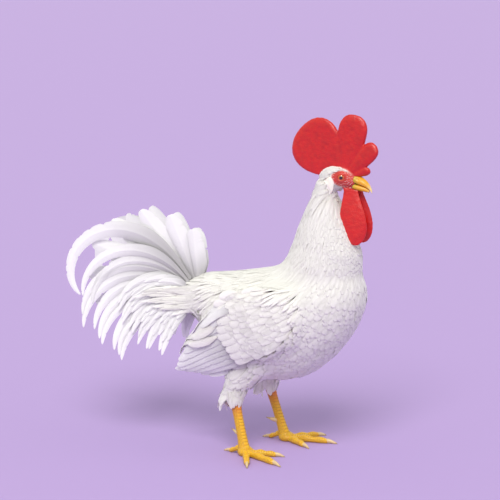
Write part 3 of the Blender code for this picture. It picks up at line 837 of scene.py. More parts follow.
def buildLegs():
    parts = legParts("left") + legParts("right")
    shell = union("legShell", [p[0] for p in parts], legShape["voxel"])
    points, edges = meshPoints(shell.data), meshEdges(shell.data)
    points = relax(points, edges, 5, 0.5)
    limb = np.concatenate([own.reshape(-1, 3) for _, own in parts])
    lofts = np.concatenate([places[:-2] for (places, _), _ in parts])  # without the middle points of the ends
    tree = kdtree.KDTree(len(lofts))
    for k, place in enumerate(lofts):
        tree.insert(place, k)
    tree.balance()
    limb = limb[[tree.find(p)[1] for p in points]]
    points[:, 2] = np.maximum(points[:, 2], 0)
    setPoints(shell.data, points)
    normals = meshNormals(shell.data)
    along, around, kind = limb.T
    onShank = kind < 0.5
    width = np.where(onShank, legShape["scuteWidth"]["shank"], legShape["scuteWidth"]["toe"])
    step = along / np.where(onShank, legShape["scute"]["shank"], legShape["scute"]["toe"])
    band = (step + 0.5 * (around > 0) * onShank) % 1 - 0.5
    front = (1 - smooth(0.85, 1.05, abs(around) / width)) * (kind < 1.5)
    scute, scale = legShape["bulge"]["scute"], legShape["bulge"]["scale"]
    push = scute * (0.25 - band**2) * 4 * front + (1 - front) * scale * ripple(points, legShape["scale"], 3)
    push *= smooth(0.3, 2.0, points[:, 2] / mm)  # flat where it stands
    points = points + normals * push[:, None] * mm
    points[:, 2] = np.maximum(points[:, 2], 0)
    setPoints(shell.data, points)
    return shell, {
        "leg": np.ones(len(points)), "hock": smooth(*legShape["redFrom"], points[:, 2] / mm),
        "scuteStep": step, "scuteSide": around / width, "shank": onShank * 1.0, "sole": (kind > 1.5) * 1.0,
    }


legShell, legZones = buildLegs()
print("leg shell", len(legShell.data.polygons), "faces")


# one skin from the three shells

skinLook = {
    "face": "#cb3a31",
    "comb": "#c9110f",
    "combDark": "#8a0b0e",
    "wattle": "#cc1310",
    "lobe": "#efe9df",
    "leg": "#e5b21c",
    "seam": "#b07a10",  # between the scutes
    "hock": "#d8702c",
    "under": "#efeae4",  # where feathers cover it
    "papilla": 1.5,  # mm across; real ones are about 0.7, drawn coarser to show
    "blotch": 9, "scaleSize": 2.3,  # mm across: flushes of blood, and small scales at the sides of the leg
    "relief": 0.4,  # mm
}


def gatherShells(shells):
    points, faceSets, start, zones = [], [], 0, {}
    total = sum(len(s.data.vertices) for s, _ in shells)
    for shell, own in shells:
        size = len(shell.data.vertices)
        corners = np.zeros(len(shell.data.loops), np.int32)
        shell.data.loops.foreach_get("vertex_index", corners)
        points.append(meshPoints(shell.data))
        faceSets.append(corners.reshape(-1, 4) + start)
        for name, values in own.items():
            zones.setdefault(name, np.zeros(total))[start : start + size] = values
        start += size
        bpy.data.objects.remove(shell)
    return np.concatenate(points), faceSets, zones


def skinMaterial():
    # living bare skin, grown: moist and slightly waxy, with light soaking into it, pebbled with papillae
    made, tree, shader = newMaterial(
        "bare skin", skinLook["face"], 0.36, Subsurface_Weight=0.14, Subsurface_Scale=0.003,
        Coat_Weight=0.25, Coat_Roughness=0.35,
    )
    shader.inputs["Subsurface Radius"].default_value = (1.0, 0.22, 0.14)
    objectPlace = {"Vector": addNode(tree, "TexCoord").outputs["Object"]}
    blotch = addNode(tree, "TexNoise", objectPlace, {"Scale": 1 / (skinLook["blotch"] * mm), "Detail": 3.0})
    pebble = addNode(tree, "TexVoronoi", objectPlace, {"Scale": 1 / (skinLook["papilla"] * mm)})
    colour = None
    for zone in ("face", "comb", "wattle", "lobe", "leg", "hock"):
        weight = addNode(tree, "Attribute", attribute_name=zone)
        mixed = addNode(tree, "Mix", {0: weight.outputs["Fac"]}, data_type="RGBA")
        if colour:
            tree.links.new(colour, mixed.inputs[6])
        else:
            mixed.inputs[6].default_value = linear(skinLook["under"])
        mixed.inputs[7].default_value = linear(skinLook[zone])
        colour = mixed.outputs[2]
    # blood shows darker in blotches on the comb, face and wattles
    red = addNode(tree, "Attribute", attribute_name="red")
    patch = addNode(tree, "MapRange", {0: blotch.outputs["Fac"]}, {1: 0.40, 2: 0.80, 3: 0.0, 4: 0.38})
    amount = addNode(tree, "Math", {0: red.outputs["Fac"], 1: patch.outputs[0]}, operation="MULTIPLY")
    dark = addNode(tree, "Mix", {0: amount.outputs[0], 6: colour}, data_type="RGBA")
    dark.inputs[7].default_value = linear(skinLook["combDark"])
    # scutes: two alternating rows down the shank, one across each toe, small scales at the sides
    step, across, onShank, sole, leg = [
        addNode(tree, "Attribute", attribute_name=name).outputs["Fac"]
        for name in ("scuteStep", "scuteSide", "shank", "sole", "leg")
    ]
    right = addNode(tree, "Math", {0: across}, {1: 0.0}, operation="GREATER_THAN")
    shift = addNode(tree, "Math", {0: right.outputs[0], 1: onShank}, operation="MULTIPLY")
    phase = addNode(tree, "Math", {0: shift.outputs[0], 2: step}, {1: 0.5}, operation="MULTIPLY_ADD")
    fromSeam = addNode(tree, "Math", {0: phase.outputs[0]}, {1: 0.5}, operation="PINGPONG")
    out = addNode(tree, "Math", {0: across}, operation="ABSOLUTE")
    toMiddle = addNode(tree, "MapRange", {0: onShank}, {3: 1.0, 4: 0.0})
    fromMiddle = addNode(tree, "Math", {0: out.outputs[0], 1: toMiddle.outputs[0]}, operation="ADD")
    nearer = addNode(tree, "Math", {0: fromSeam.outputs[0], 1: fromMiddle.outputs[0]}, operation="MINIMUM")
    big = addNode(
        tree, "MapRange", {0: nearer.outputs[0]}, {1: 0.03, 2: 0.13, 3: 1.0, 4: 0.0},
        interpolation_type="SMOOTHSTEP",
    )
    cells = addNode(
        tree, "TexVoronoi", objectPlace, {"Scale": 1 / (skinLook["scaleSize"] * mm)},
        feature="DISTANCE_TO_EDGE",
    )
    small = addNode(
        tree, "MapRange", {0: cells.outputs["Distance"]}, {1: 0.02, 2: 0.16, 3: 0.8, 4: 0.0},
        interpolation_type="SMOOTHSTEP",
    )
    outside = addNode(tree, "MapRange", {0: out.outputs[0]}, {1: 0.9, 2: 1.0, 3: 0.0, 4: 1.0})
    aside = addNode(tree, "Math", {0: outside.outputs[0], 1: sole}, operation="MAXIMUM")
    seams = addNode(tree, "Mix", {0: aside.outputs[0], 2: big.outputs[0], 3: small.outputs[0]})
    seam = addNode(tree, "Math", {0: seams.outputs[0], 1: leg}, operation="MULTIPLY")
    tint = addNode(tree, "Math", {0: seam.outputs[0]}, {1: 0.7}, operation="MULTIPLY")
    lined = addNode(tree, "Mix", {0: tint.outputs[0], 6: dark.outputs[2]}, data_type="RGBA")
    lined.inputs[7].default_value = linear(skinLook["seam"])
    tree.links.new(lined.outputs[2], shader.inputs["Base Color"])
    rough = addNode(tree, "Attribute", attribute_name="pebbled")
    pits = {0: pebble.outputs["Distance"], 1: rough.outputs["Fac"]}
    height = addNode(tree, "Math", pits, operation="MULTIPLY")
    whole = addNode(tree, "Math", {0: height.outputs[0], 1: seam.outputs[0]}, operation="ADD")
    depth = {"Strength": 0.7, "Distance": skinLook["relief"] * mm}
    bump = addNode(tree, "Bump", {"Height": whole.outputs[0]}, depth)
    bump.invert = True  # the height is how deep
    tree.links.new(bump.outputs[0], shader.inputs["Normal"])
    return made


headPoints = meshPoints(headShell.data)
headFaces = np.array([p.vertices[:] for p in headShell.data.polygons])
bodyEdges = meshEdges(bodyShell.data)
bodyPoints = meshPoints(bodyShell.data)
bodyFaces = np.array([p.vertices[:] for p in bodyShell.data.polygons])
bodyNormals = meshNormals(bodyShell.data)


def facePlace(points):
    # 1 on the bare face: round the eye, to the bill, at the comb's foot and between the wattles
    ahead, _, up = toHead(points).T
    flank = np.hypot((ahead - 3.5) / 17.5, (up - 1.0) / 12.5)
    lores = np.hypot((ahead - 18) / 9, (up + 2) / 13)
    chin = np.hypot((ahead - 13) / 11, (up + 15) / 7)
    return 1 - smooth(0.86, 1.06, np.minimum(np.minimum(flank, lores), chin))


def makeSkin():
    notLobe = 1 - headZones["lobe"]
    headZones["face"] = facePlace(headPoints) * notLobe
    red = headZones["comb"] + headZones["wattle"] + 0.6 * headZones["face"]
    headZones["red"] = np.clip(red, 0, 1) * notLobe
    headZones["pebbled"] = 0.35 + 0.65 * headZones["red"]
    legZones["pebbled"] = np.full(len(legZones["leg"]), 0.15)
    points, faceSets, zones = gatherShells([(headShell, headZones), (bodyShell, {}), (legShell, legZones)])
    shellSize = len(points)
    size = shellSize
    points = [points]
    for side in sides:
        lidPoints, lidFaces = lid(side)
        faceSets += [f + size for f in lidFaces]
        points.append(lidPoints)
        size += len(lidPoints)
    made = makeObject("skin", np.concatenate(points), faceSets)
    onLids = {"face": 1, "red": 0.45, "pebbled": 0.4}
    for zone, values in zones.items():
        keepOn(made, zone, np.concatenate([values, np.full(size - shellSize, onLids.get(zone, 0))]))
    made.data.materials.append(skinMaterial())
    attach(made, "root")
    flesh = ["head", "neck_upper", "neck_lower", "breast", "back", "belly", "saddle", "comb"]
    for side in sides:
        paired = ("wattle", "earlobe", "thigh", "shank", "toe_middle", "toe_inner", "toe_outer", "toe_back")
        flesh += [f"{part}_{side}" for part in paired] + [f"wing_{side}_bow"]
    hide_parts(*flesh)
    print("skin", len(made.data.polygons), "faces")


makeSkin()


# the lie of the feathers

lieShape = {
    # ahead and up, from the nape to the tail
    "spine": [(120, 422), (97, 385), (92, 345), (86, 302), (68, 262), (30, 240), (-60, 225), (-128, 238)],
    "headSlope": 0.42,  # how far the head's feathers turn down for their run to the back
    "fall": 0.75,  # the same for the ones at the sides behind the middle of the back
    "thighTop": (58, 44, 205),  # mm ahead of the hock, outward and up: from there down the thigh
}
spineSpots = between([world(ahead, 0, up) for ahead, up in lieShape["spine"]], 12)
spineRuns = unit(np.gradient(spineSpots, axis=0))


def lie(points):
    # backwards and down along the bird, in the head's frame on the head
    away = np.linalg.norm(points[:, None] - spineSpots[None], axis=-1) / mm
    weight = 1 / (away**4 + 100)
    flow = unit((weight[..., None] * spineRuns[None]).sum(1))
    head = toHead(points)
    onHead = smooth(-32, -12, head[:, 0]) * smooth(-34, -20, head[:, 2])
    swept = unit(-headAhead - headUp * lieShape["headSlope"])
    left, ahead, up = toBird(points).T
    fall = smooth(70, -60, ahead) * smooth(8, 55, abs(left)) * smooth(150, 215, up)
    flow = unit(flow - np.array([0, 0, lieShape["fall"]]) * fall[:, None])
    return unit(flow * (1 - onHead)[:, None] + swept * onHead[:, None])


def scatter(points, faces, spacing, chosen, seed):
    # roots at least spacing mm apart over the quads, spacing and chosen given at each point of the mesh
    rng, tries = np.random.default_rng(seed), 14
    corners = points[faces]
    area = np.linalg.norm(np.cross(corners[:, 2] - corners[:, 0], corners[:, 3] - corners[:, 1]), axis=1) / 2
    gap = spacing[faces].mean(1)
    wanted = area / (gap * mm) ** 2 * (chosen[faces].mean(1) > 0.5)
    total = int(wanted.sum() * tries)
    picks = rng.choice(len(faces), total, p=wanted / wanted.sum())
    a, b = rng.random((2, total, 1))
    c = corners[picks]
    spots = c[:, 0] * (1 - a) * (1 - b) + c[:, 1] * a * (1 - b) + c[:, 2] * a * b + c[:, 3] * (1 - a) * b
    cell = gap.max() * mm
    steps = list(itertools.product((-1, 0, 1), repeat=3))
    places, reaches = spots.tolist(), (gap[picks] * mm) ** 2
    grid, kept = {}, []
    for k, (x, y, z) in enumerate(places):
        i, j, m = math.floor(x / cell), math.floor(y / cell), math.floor(z / cell)
        near = (places[n] for di, dj, dm in steps for n in grid.get((i + di, j + dj, m + dm), ()))
        if all((px - x) ** 2 + (py - y) ** 2 + (pz - z) ** 2 >= reaches[k] for px, py, pz in near):
            grid.setdefault((i, j, m), []).append(k)
            kept.append(k)
    return spots[kept], faces[picks[kept], 0]


def unwrap(points):
    # the body opened out along its back: distance along the spine, and turn about it
    away = np.linalg.norm(points[:, None] - spineSpots[None], axis=-1)
    k = away.argmin(1)
    off = points - spineSpots[k]
    run = spineRuns[k]
    up = unit(np.array([0, 0, 1.0]) - run * run[:, 2:])
    left = np.cross(up, run)
    turn = np.arctan2((off * left).sum(1), -(off * up).sum(1)) / (2 * math.pi) + 0.5
    return np.stack([turn, k / len(spineSpots)], -1)


growth = {
    "turnUnder": 0.82, "fallAway": 0.42, "overhang": -0.25,  # when a feather that may leave the body does
    "droop": 0.22,  # how far it turns down at each step after that
    # a sound one is nearly straight, nowhere sharply bent, mostly on the body, and not turned from its lie
    "straight": 0.70, "smoothest": 0.6, "offBody": 0.75, "faithful": 0.45,
}


def grow(tree, roots, direction, length, coat, stations, bend, rng, stray=0.06, mayLeave=None):
    # centre lines laid over the skin, rising from it to the coat's depth; also which came out sound
    shares = tipward(stations)
    steps = np.diff(shares)
    place = roots.copy()
    spots, normals, _ = nearest(tree, place)
    run = unit(direction - normals * (direction * normals).sum(1, keepdims=True))
    sideways = np.cross(normals, run)
    run = unit(run + sideways * rng.normal(0, stray, (len(roots), 1)))
    centre, up, first = [spots], [normals], run
    free = np.zeros(len(roots), bool)  # past an edge of the body a feather goes on by itself and hangs
    gone = np.zeros(len(roots))
    for step in steps:
        place = spots + run * (length * step)[:, None] * mm
        found, facing, _ = nearest(tree, place)
        if mayLeave is not None:
            fallen = np.linalg.norm(found - place, axis=1) > growth["fallAway"] * length * step * mm
            turnsUnder = (facing * normals).sum(1) < growth["turnUnder"]
            free |= (turnsUnder | fallen | (facing[:, 2] < growth["overhang"])) & mayLeave
        spots = np.where(free[:, None], place, found)
        normals = np.where(free[:, None], normals, facing)
        turned = unit(run * (1 - bend) + lie(spots) * bend)
        run = np.where(free[:, None], unit(run - np.array([0, 0, growth["droop"]])), turned)
        gone += free * step
        run = unit(run - normals * (run * normals).sum(1, keepdims=True))
        centre.append(spots)
        up.append(normals)
    centre, up = np.stack(centre, 1), np.stack(up, 1)
    for _ in range(2):
        up[:, 1:-1] = unit(up[:, 1:-1] * 2 + up[:, 2:] + up[:, :-2])
        centre[:, 1:-1] = centre[:, 1:-1] * 0.5 + (centre[:, 2:] + centre[:, :-2]) * 0.25
    whole = centre[:, -1] - centre[:, 0]
    sound = (np.linalg.norm(whole, axis=1) > growth["straight"] * length * mm) & (gone < growth["offBody"])
    sound &= (unit(whole) * first).sum(1) > growth["faithful"]
    sound &= (up[:, 1:] * up[:, :-1]).sum(-1).min(1) > growth["smoothest"]
    rise = np.sin(shares * math.pi / 2) ** 0.85
    lift = rise[None] * (coat * rng.uniform(0.94, 1.04, len(roots)))[:, None] * mm
    shares = np.broadcast_to(shares, (int(sound.sum()), stations))
    return (centre + up * lift[..., None])[sound], up[sound], shares, np.flatnonzero(sound)


coats = {
    # spacing, length, half width, point (0 rounded, 1 lanceolate), thickness; all in mm
    "neck_upper": (3.3, 46, 2.8, 0.8, 0.3),
    "neck_lower": (4.4, 84, 3.8, 0.9, 0.35),
    "breast": (5.4, 36, 6.4, 0.15, 0.3),
    "back": (4.8, 64, 4.6, 0.8, 0.3),
    "belly": (6.2, 44, 7.6, 0.2, 0.35),
    "saddle": (4.3, 92, 4.3, 0.9, 0.3),
    **{f"thigh_{side}": (4.8, 40, 4.6, 0.5, 0.3) for side in sides},
    **{f"wing_{side}_bow": (5.0, 36, 5.2, 0.3, 0.3) for side in sides},
}
throat = {
    "middle": ([262, 338, 412], [84, 91, 100]),  # up, and how far ahead the neck's middle is there
    "shorter": 0.50, "wider": 0.35, "rounder": 0.65,  # than the hackle
}
bareEnds = {"tail": (0.55, -95), "hock": (-0.62, 128)}  # facing so squarely back or down, mm ahead or up
byWing = {
    "shorter": 0.55, "rim": 0.75,  # feathers also root on the bow where it faces less far outwards than this
    "along": (22, 236), "above": ([20, 60, 110], [0.3, 0.42, 0.75]), "below": 0.78,  # what they keep off
    "under": 6,  # mm that they may reach in under the wing
}

coatDepths = bodyShape["coat"] | bodyShape["beside"]
coatShell = hull("coatShell", coatDepths, bodyShape["bridgeVoxel"], bodyShape["bridge"])[0]
coatPoints = meshPoints(coatShell.data)
spots, facing, _ = nearest(treeOf(bodyPoints, bodyFaces), coatPoints)
inside = ((coatPoints - spots) * facing).sum(1) < 0
coatPoints[inside] = spots[inside]
coatTree = treeOf(coatPoints, np.array([p.vertices[:] for p in coatShell.data.polygons]))
bpy.data.objects.remove(coatShell)
fleshy = headZones["comb"] + headZones["wattle"] + headZones["lobe"]
headTree = treeOf(headPoints, headFaces[fleshy[headFaces].max(1) < 0.4])


wingShape = {
    "shoulder": (72, 240), "tip": (-138, 122),  # ahead, up
    # along the wing, chord above the axis, chord below it, distance from the midline, half thickness
    "stations": np.array([
        (0, 8, 9, 71, 5), (10, 30, 29, 73, 9), (34, 49, 47, 75, 13), (72, 57, 53, 75, 15),
        (112, 54, 48, 71, 13), (152, 43, 38, 64, 9.5), (190, 29, 27, 54, 7), (220, 15, 16, 45, 5),
        (240, 4, 5, 39, 3),
    ], float),
}
wingRun = unit(np.subtract(wingShape["tip"], wingShape["shoulder"]))
wingUp = np.array([wingRun[1], -wingRun[0]])


def wingOutline(along):
    # chord above the axis, chord below it, distance from the midline and half thickness
    rows = wingShape["stations"]
    return [np.interp(along, rows[:, 0], rows[:, k]) for k in (1, 2, 3, 4)]


def clearOfWing(tips):
    # False for feathers of the body that would end out on the folded wing
    left, ahead, up = toBird(tips).T
    off = np.stack([ahead, up], -1) - wingShape["shoulder"]
    along, chord = off @ wingRun, off @ wingUp
    above, below, middle, _ = wingOutline(along)
    top = np.interp(along, *byWing["above"])  # the back's feathers cover more of its front
    first, last = byWing["along"]
    within = (along > first) & (along < last) & (chord < top * above) & (chord > -byWing["below"] * below)
    return ~(within & (abs(left) > middle - byWing["under"]))


def bodyFeathers():
    rng = np.random.default_rng(11)
    table = zoneWeights @ np.array([coats[n] for n in zoneNames])
    left, ahead, up = toBird(bodyPoints).T
    share = dict(zip(zoneNames, zoneWeights.T))
    # the hackle is longest on the nape and shoulders; the throat has shorter, rounder feathers
    front = smooth(-6, 26, ahead - np.interp(up, *throat["middle"]))
    front *= share["neck_upper"] + share["neck_lower"]
    table[:, 1] *= 1 - throat["shorter"] * front
    table[:, 2] *= 1 + throat["wider"] * front
    table[:, 3] *= 1 - throat["rounder"] * front
    wings = share["wing_left_bow"] + share["wing_right_bow"]
    outward = bodyNormals[:, 0] * np.sign(left)
    chosen = np.maximum(1 - smooth(0.45, 0.55, wings), outward < byWing["rim"])
    chosen *= bodyPoints[:, 2] < neckTop - 16 * mm
    # shorter where they would run out over the wing
    toWing = relax(wings, bodyEdges, 60)
    table[:, 1] *= 1 - byWing["shorter"] * smooth(0.02, 0.35, toWing) * (1 - smooth(-20, -70, ahead))
    # none on the blunt ends where the tail and the hocks come out
    backward, behind = bareEnds["tail"]
    chosen *= (bodyNormals[:, 1] < backward) | (share["saddle"] < 0.5) | (ahead > behind)
    downward, below = bareEnds["hock"]
    thighs = share["thigh_left"] + share["thigh_right"]
    chosen *= (bodyNormals[:, 2] > downward) | (thighs < 0.5) | (up > below)
    roots, at = scatter(bodyPoints, bodyFaces, table[:, 0], chosen, 5)
    own, coat = table[at], zoneCoat[at]
    share = dict(zip(zoneNames, zoneWeights[at].T))
    thighs = share["thigh_left"] + share["thigh_right"]
    flow = lie(roots)
    ahead, out, up = lieShape["thighTop"]
    for side, sign in sides.items():
        hock = legShape["hock"][side]
        down = unit(world(hock[0], sign * hock[1], hock[2]) - world(hock[0] + ahead, sign * out, up))
        onThigh = share["thigh_" + side][:, None]
        flow = unit(flow * (1 - onThigh) + down * onThigh)
    length = own[:, 1] * rng.uniform(0.86, 1.1, len(roots))
    groups = {
        "neckFeathers": share["neck_upper"] + share["neck_lower"],
        "breastFeathers": share["breast"],
        "backFeathers": share["back"] + share["saddle"],
        "bellyFeathers": share["belly"],
        "thighFeathers": thighs,
        "breastFeathers.atWing": share["wing_left_bow"] + share["wing_right_bow"],
    }
    best = np.array(list(groups))[np.argmax(np.stack(list(groups.values())), 0)]
    stations = 10
    for name in list(groups)[:-1]:
        pick = np.flatnonzero((best == name) | (best == name + ".atWing"))
        bend = 0.12 if name == "thighFeathers" else 0.45
        leaving = (thighs[pick] > 0.5) & (roots[pick, 2] < 130 * mm)
        centre, facing, along, sound = grow(
            coatTree, roots[pick], flow[pick], length[pick], coat[pick], stations, bend, rng,
            mayLeave=leaving,
        )
        clear = clearOfWing(centre[:, -1])
        centre, facing, along, pick = centre[clear], facing[clear], along[clear], pick[sound[clear]]
        n = len(pick)
        half = own[pick, 2][:, None] * widthAlong(along, own[pick, 3][:, None]) * mm
        half = half[..., None] * rng.uniform(0.90, 1.06, (n, stations, 2))
        tint = rng.uniform(*plumageLook["tints"], n)
        vanes(
            name, contourPlume, centre, facing, half, (-1, -0.5, 0, 0.5, 1), (0,),
            own[pick, 4][:, None], unwrap(roots[pick]), tint, shaft=0.25,
        )


bodyFeathers()


hockCoat = {
    "spacing": 3.6, "length": 25, "halfWidth": 4.0, "point": 0.5, "thick": 0.3,  # mm
    "below": 124, "reach": (10, 23),  # mm up and from the hock's middle that they root
    "bow": 2.0, "inward": (11, 9),  # mm out along the way, and the ones past 11 mm come in by up to 9
}


def hockFeathers():
    # they hang from the blunt foot of each thigh round the hock
    rng = np.random.default_rng(17)
    spacing, stations = np.full(len(bodyPoints), hockCoat["spacing"]), 8
    for side, sign in sides.items():
        weight = zoneWeights[:, zoneNames.index("thigh_" + side)]
        low = bodyPoints[:, 2] < hockCoat["below"] * mm
        chosen = (weight > 0.55) & (bodyNormals[:, 2] < -0.12) & low
        roots, _ = scatter(bodyPoints, bodyFaces, spacing, chosen, 19)
        hock = legShape["hock"][side]
        out = (roots - world(hock[0] + 2, sign * hock[1], 0)) * [1, 1, 0]
        away = np.linalg.norm(out, axis=1) / mm
        near, far = hockCoat["reach"]
        roots, out, away = [v[(away > near) & (away < far)] for v in (roots, out, away)]
        n = len(roots)
        out = unit(out)
        share = np.broadcast_to(tipward(stations), (n, stations))
        length = hockCoat["length"] * rng.uniform(0.8, 1.15, n)
        free, most = hockCoat["inward"]
        inward = np.clip(away - free, 0, most)[:, None] * share
        bow = hockCoat["bow"] * np.sin(share * math.pi) - inward
        centre = roots[:, None] - np.array([0, 0, 1]) * (length[:, None] * share)[..., None] * mm
        centre = centre + out[:, None] * bow[..., None] * mm
        half = hockCoat["halfWidth"] * mm * widthAlong(share, hockCoat["point"])
        half = half * rng.uniform(0.85, 1.1, (n, 1))
        thick = np.full((n, 1), hockCoat["thick"])
        vanes(
            f"hockFeathers.{side}", contourPlume, centre, np.repeat(out[:, None], stations, 1),
            np.repeat(half[..., None], 2, -1), (-1, -0.5, 0, 0.5, 1), (0,), thick,
            unwrap(roots), rng.uniform(*plumageLook["tints"], n), shaft=0.2,
        )


hockFeathers()


# small feathers of the head

headCoat = {
    "spacing": 2.1, "length": (5.5, 15), "halfWidth": 1.5, "lift": 1.5, "point": 0.25, "thick": 0.25,
    "sparser": 1.4,  # mm more between them on the nape, where they are longer
}
bristles = {"spacing": 2.4, "length": (2.0, 3.6), "halfWidth": 0.28, "lift": 0.7, "thick": 0.2}


def headFeathers(rng):
    ahead, _, up = toHead(headPoints).T
    fleshy = [headZones[zone] > 0.3 for zone in ("comb", "wattle", "lobe")]
    bare = np.maximum.reduce([facePlace(headPoints), *fleshy])
    kept = (1 - smooth(0.2, 0.5, bare)) * (headPoints[:, 2] > neckTop - 24 * mm) * (ahead < 24)
    spacing = headCoat["spacing"] + headCoat["sparser"] * (1 - smooth(-34, -16, up))
    roots, _ = scatter(headPoints, headFaces, spacing, kept, 8)
    ahead, _, up = toHead(roots).T
    toBack = smooth(10, -30, ahead) + smooth(-16, -36, up)
    low, high = headCoat["length"]
    length = (low + (high - low) * np.clip(toBack, 0, 2)) * rng.uniform(0.85, 1.15, len(roots))
    lift = headCoat["lift"] * (1 + 0.8 * np.clip(toBack, 0, 1.4))
    stations = 7
    centre, facing, along, sound = grow(
        headTree, roots, lie(roots), length, lift, stations, 0.4, rng, stray=0.10,
    )
    roots, n = roots[sound], len(sound)
    wide = headCoat["halfWidth"] * (1 + 0.35 * np.clip(toBack[sound], 0, 1))
    half = (wide * mm)[:, None] * widthAlong(along, headCoat["point"])
    half = half[..., None] * rng.uniform(0.9, 1.1, (n, stations, 2))
    vanes(
        "headFeathers", contourPlume, centre, facing, half, (-1, 0, 1), (0,),
        np.full((n, 1), headCoat["thick"]), unwrap(roots), rng.uniform(0.9, 1.0, n), shaft=0.1,
    )


def faceBristles(rng):
    # hair-like, on the bare face
    chosen = smooth(0.5, 0.9, facePlace(headPoints))
    for zone in ("comb", "wattle", "lobe"):
        chosen *= headZones[zone] < 0.2
    for side in sides:
        chosen *= np.linalg.norm(headPoints - eyeCentre[side], axis=1) > 10.5 * mm
    roots, _ = scatter(headPoints, headFaces, np.full(len(headPoints), bristles["spacing"]), chosen, 9)
    n = len(roots)
    length = rng.uniform(*bristles["length"], n)
    centre, facing, along, sound = grow(
        headTree, roots, lie(roots), length, np.full(n, bristles["lift"]), 5, 0.4, rng, stray=0.3,
    )
    roots, n = roots[sound], len(sound)
    half = bristles["halfWidth"] * mm * widthAlong(along, 1)
    vanes(
        "faceBristles", contourPlume, centre, facing, np.repeat(half[..., None], 2, -1), (-1, 0, 1), (0,),
        np.full((n, 1), bristles["thick"]), unwrap(roots), np.full(n, 0.9),
    )


headDraws = np.random.default_rng(23)
headFeathers(headDraws)
faceBristles(headDraws)


# the folded wings


def wingPoint(sign, along, chord, lift):
    above, below, middle, half = wingOutline(along)
    reach = np.clip(np.abs(chord) / np.where(chord > 0, above, below), 0, 0.96)
    out = middle + half * np.sqrt(1 - reach**2) + lift
    ahead = wingShape["shoulder"][0] + wingRun[0] * along + wingUp[0] * chord
    up = wingShape["shoulder"][1] + wingRun[1] * along + wingUp[1] * chord
    return world(ahead, sign * out, up)


def wingVanes(name, sign, material, own, root, tip, bow, halfWidth, lift, rng):
    # root and tip: feathers x (along, chord) on the wing; lift: feathers x (at the root, at the tip)
    shares = tipward(own["stations"])[None]
    n = len(root)
    place = root[:, None] + (tip - root)[:, None] * shares[..., None]
    chord = place[..., 1] + bow[:, None] * np.sin(shares * math.pi)
    height = lift[:, :1] + (lift[:, 1:] - lift[:, :1]) * shares
    centre = wingPoint(sign, place[..., 0], chord, height)
    a = wingPoint(sign, place[..., 0] + 1, chord, height) - centre
    c = wingPoint(sign, place[..., 0], chord + 1, height) - centre
    up = unit(np.cross(a, c))
    up *= np.sign(up[..., :1] * sign)
    up = unit(up + unit(c) * own["tilt"])  # the lower edge of each lies over the next feather down
    for _ in range(3):
        up[:, 1:-1] = unit(up[:, 1:-1] + up[:, 2:] + up[:, :-2])
    shares = np.broadcast_to(shares, (n, own["stations"]))
    half = halfWidth[:, None] * widthAlong(shares, own["point"]) * mm
    half = np.repeat(half[..., None], 2, -1)
    if own["slits"]:
        half *= 1 - slitsIn(n, own["stations"], own["slits"], rng)
    uv = np.stack([0.05 + root[:, 0] / 270, 0.5 + root[:, 1] / 130], -1)  # the wing laid flat
    return vanes(
        name, material, centre, up, half, own["columns"], (0,), np.full((n, 1), 0.4), uv,
        rng.uniform(*plumageLook["tints"], n), shaft=own["shaft"], slant=0.7, camber=0.06,
    )


split = {"from": 0.3, "deep": (0.08, 0.26), "beside": 0.35}  # shares of the length and of the half width


def slitsIn(count, stations, chance, rng):
    # where neighbouring barbs have come apart at the edge of a vane
    cut = np.zeros((count, stations, 2))
    for k in range(count):
        for face in (0, 1):
            for _ in range(rng.poisson(chance)):
                spot = rng.integers(int(stations * split["from"]), stations - 2)
                deep = rng.uniform(*split["deep"])
                cut[k, spot, face] = deep
                cut[k, spot - 1, face] = max(cut[k, spot - 1, face], deep * split["beside"])
    return cut


coverts = {
    # the small ones scattered on the shoulder, with the shares of the wing's depth that they root on
    "spacing": 5.4, "length": 29, "halfWidth": 5.4, "until": 74, "above": 0.97, "below": 0.80, "tips": 0.80,
    # rows of larger ones: where the tips lie along the wing, length, half width, spacing, lift at the tip
    "rows": [(92, 36, 8.6, 8.5, 0.8), (106, 40, 9.6, 9.5, 0.9), (132, 62, 11.0, 11.0, 0.8)],
    "rowDepth": 0.74, "rowCurve": 16,  # share of the wing's depth; mm that the row lags 55 mm off its middle
    "rowBow": 2.0, "rowGather": 0.82,  # mm; how much closer together the roots are than the tips
    "rootLift": (-1.7, -1.8),  # mm, of the small ones and of the rows
    "stations": 12, "point": 0.4, "tilt": 0.07, "slits": 0, "shaft": 0.3, "columns": (-1, -0.6, 0, 0.6, 1),
}
quill = {
    "stations": 44, "tilt": 0.11, "slits": 0.8, "shaft": 0.9,
    "columns": (-1, -0.66, -0.33, -0.06, 0, 0.06, 0.33, 0.66, 1),
}
flight = {
    # each: the first and the last feather's value, from the lowest, outermost one up
    "secondaries": {
        "count": 10, "rootAlong": (94, 64), "rootChord": (-38, 38), "bow": (2, 10),
        "halfWidth": (9.0, 12.5), "rootLift": (-4.0, -2.0), "tipLift": (-4.5, 2.5), "point": 0.35,
        "tipAlong": ([0, 0.33, 0.5, 1], [196, 228, 231, 152]), "tipChord": ([0, 0.5, 1], [-25, 4, 38]),
    },
    "primaries": {
        "count": 5, "rootAlong": (120, 104), "rootChord": (-38, -20), "bow": (-2, -5),
        "halfWidth": (7.5, 9.0), "rootLift": (-9.0, -8.4), "tipLift": (-9.0, -6.0), "point": 0.5,
        "tipAlong": ([0, 1], [188, 240]), "tipChord": ([0, 1], [-33, -2]),
    },
}


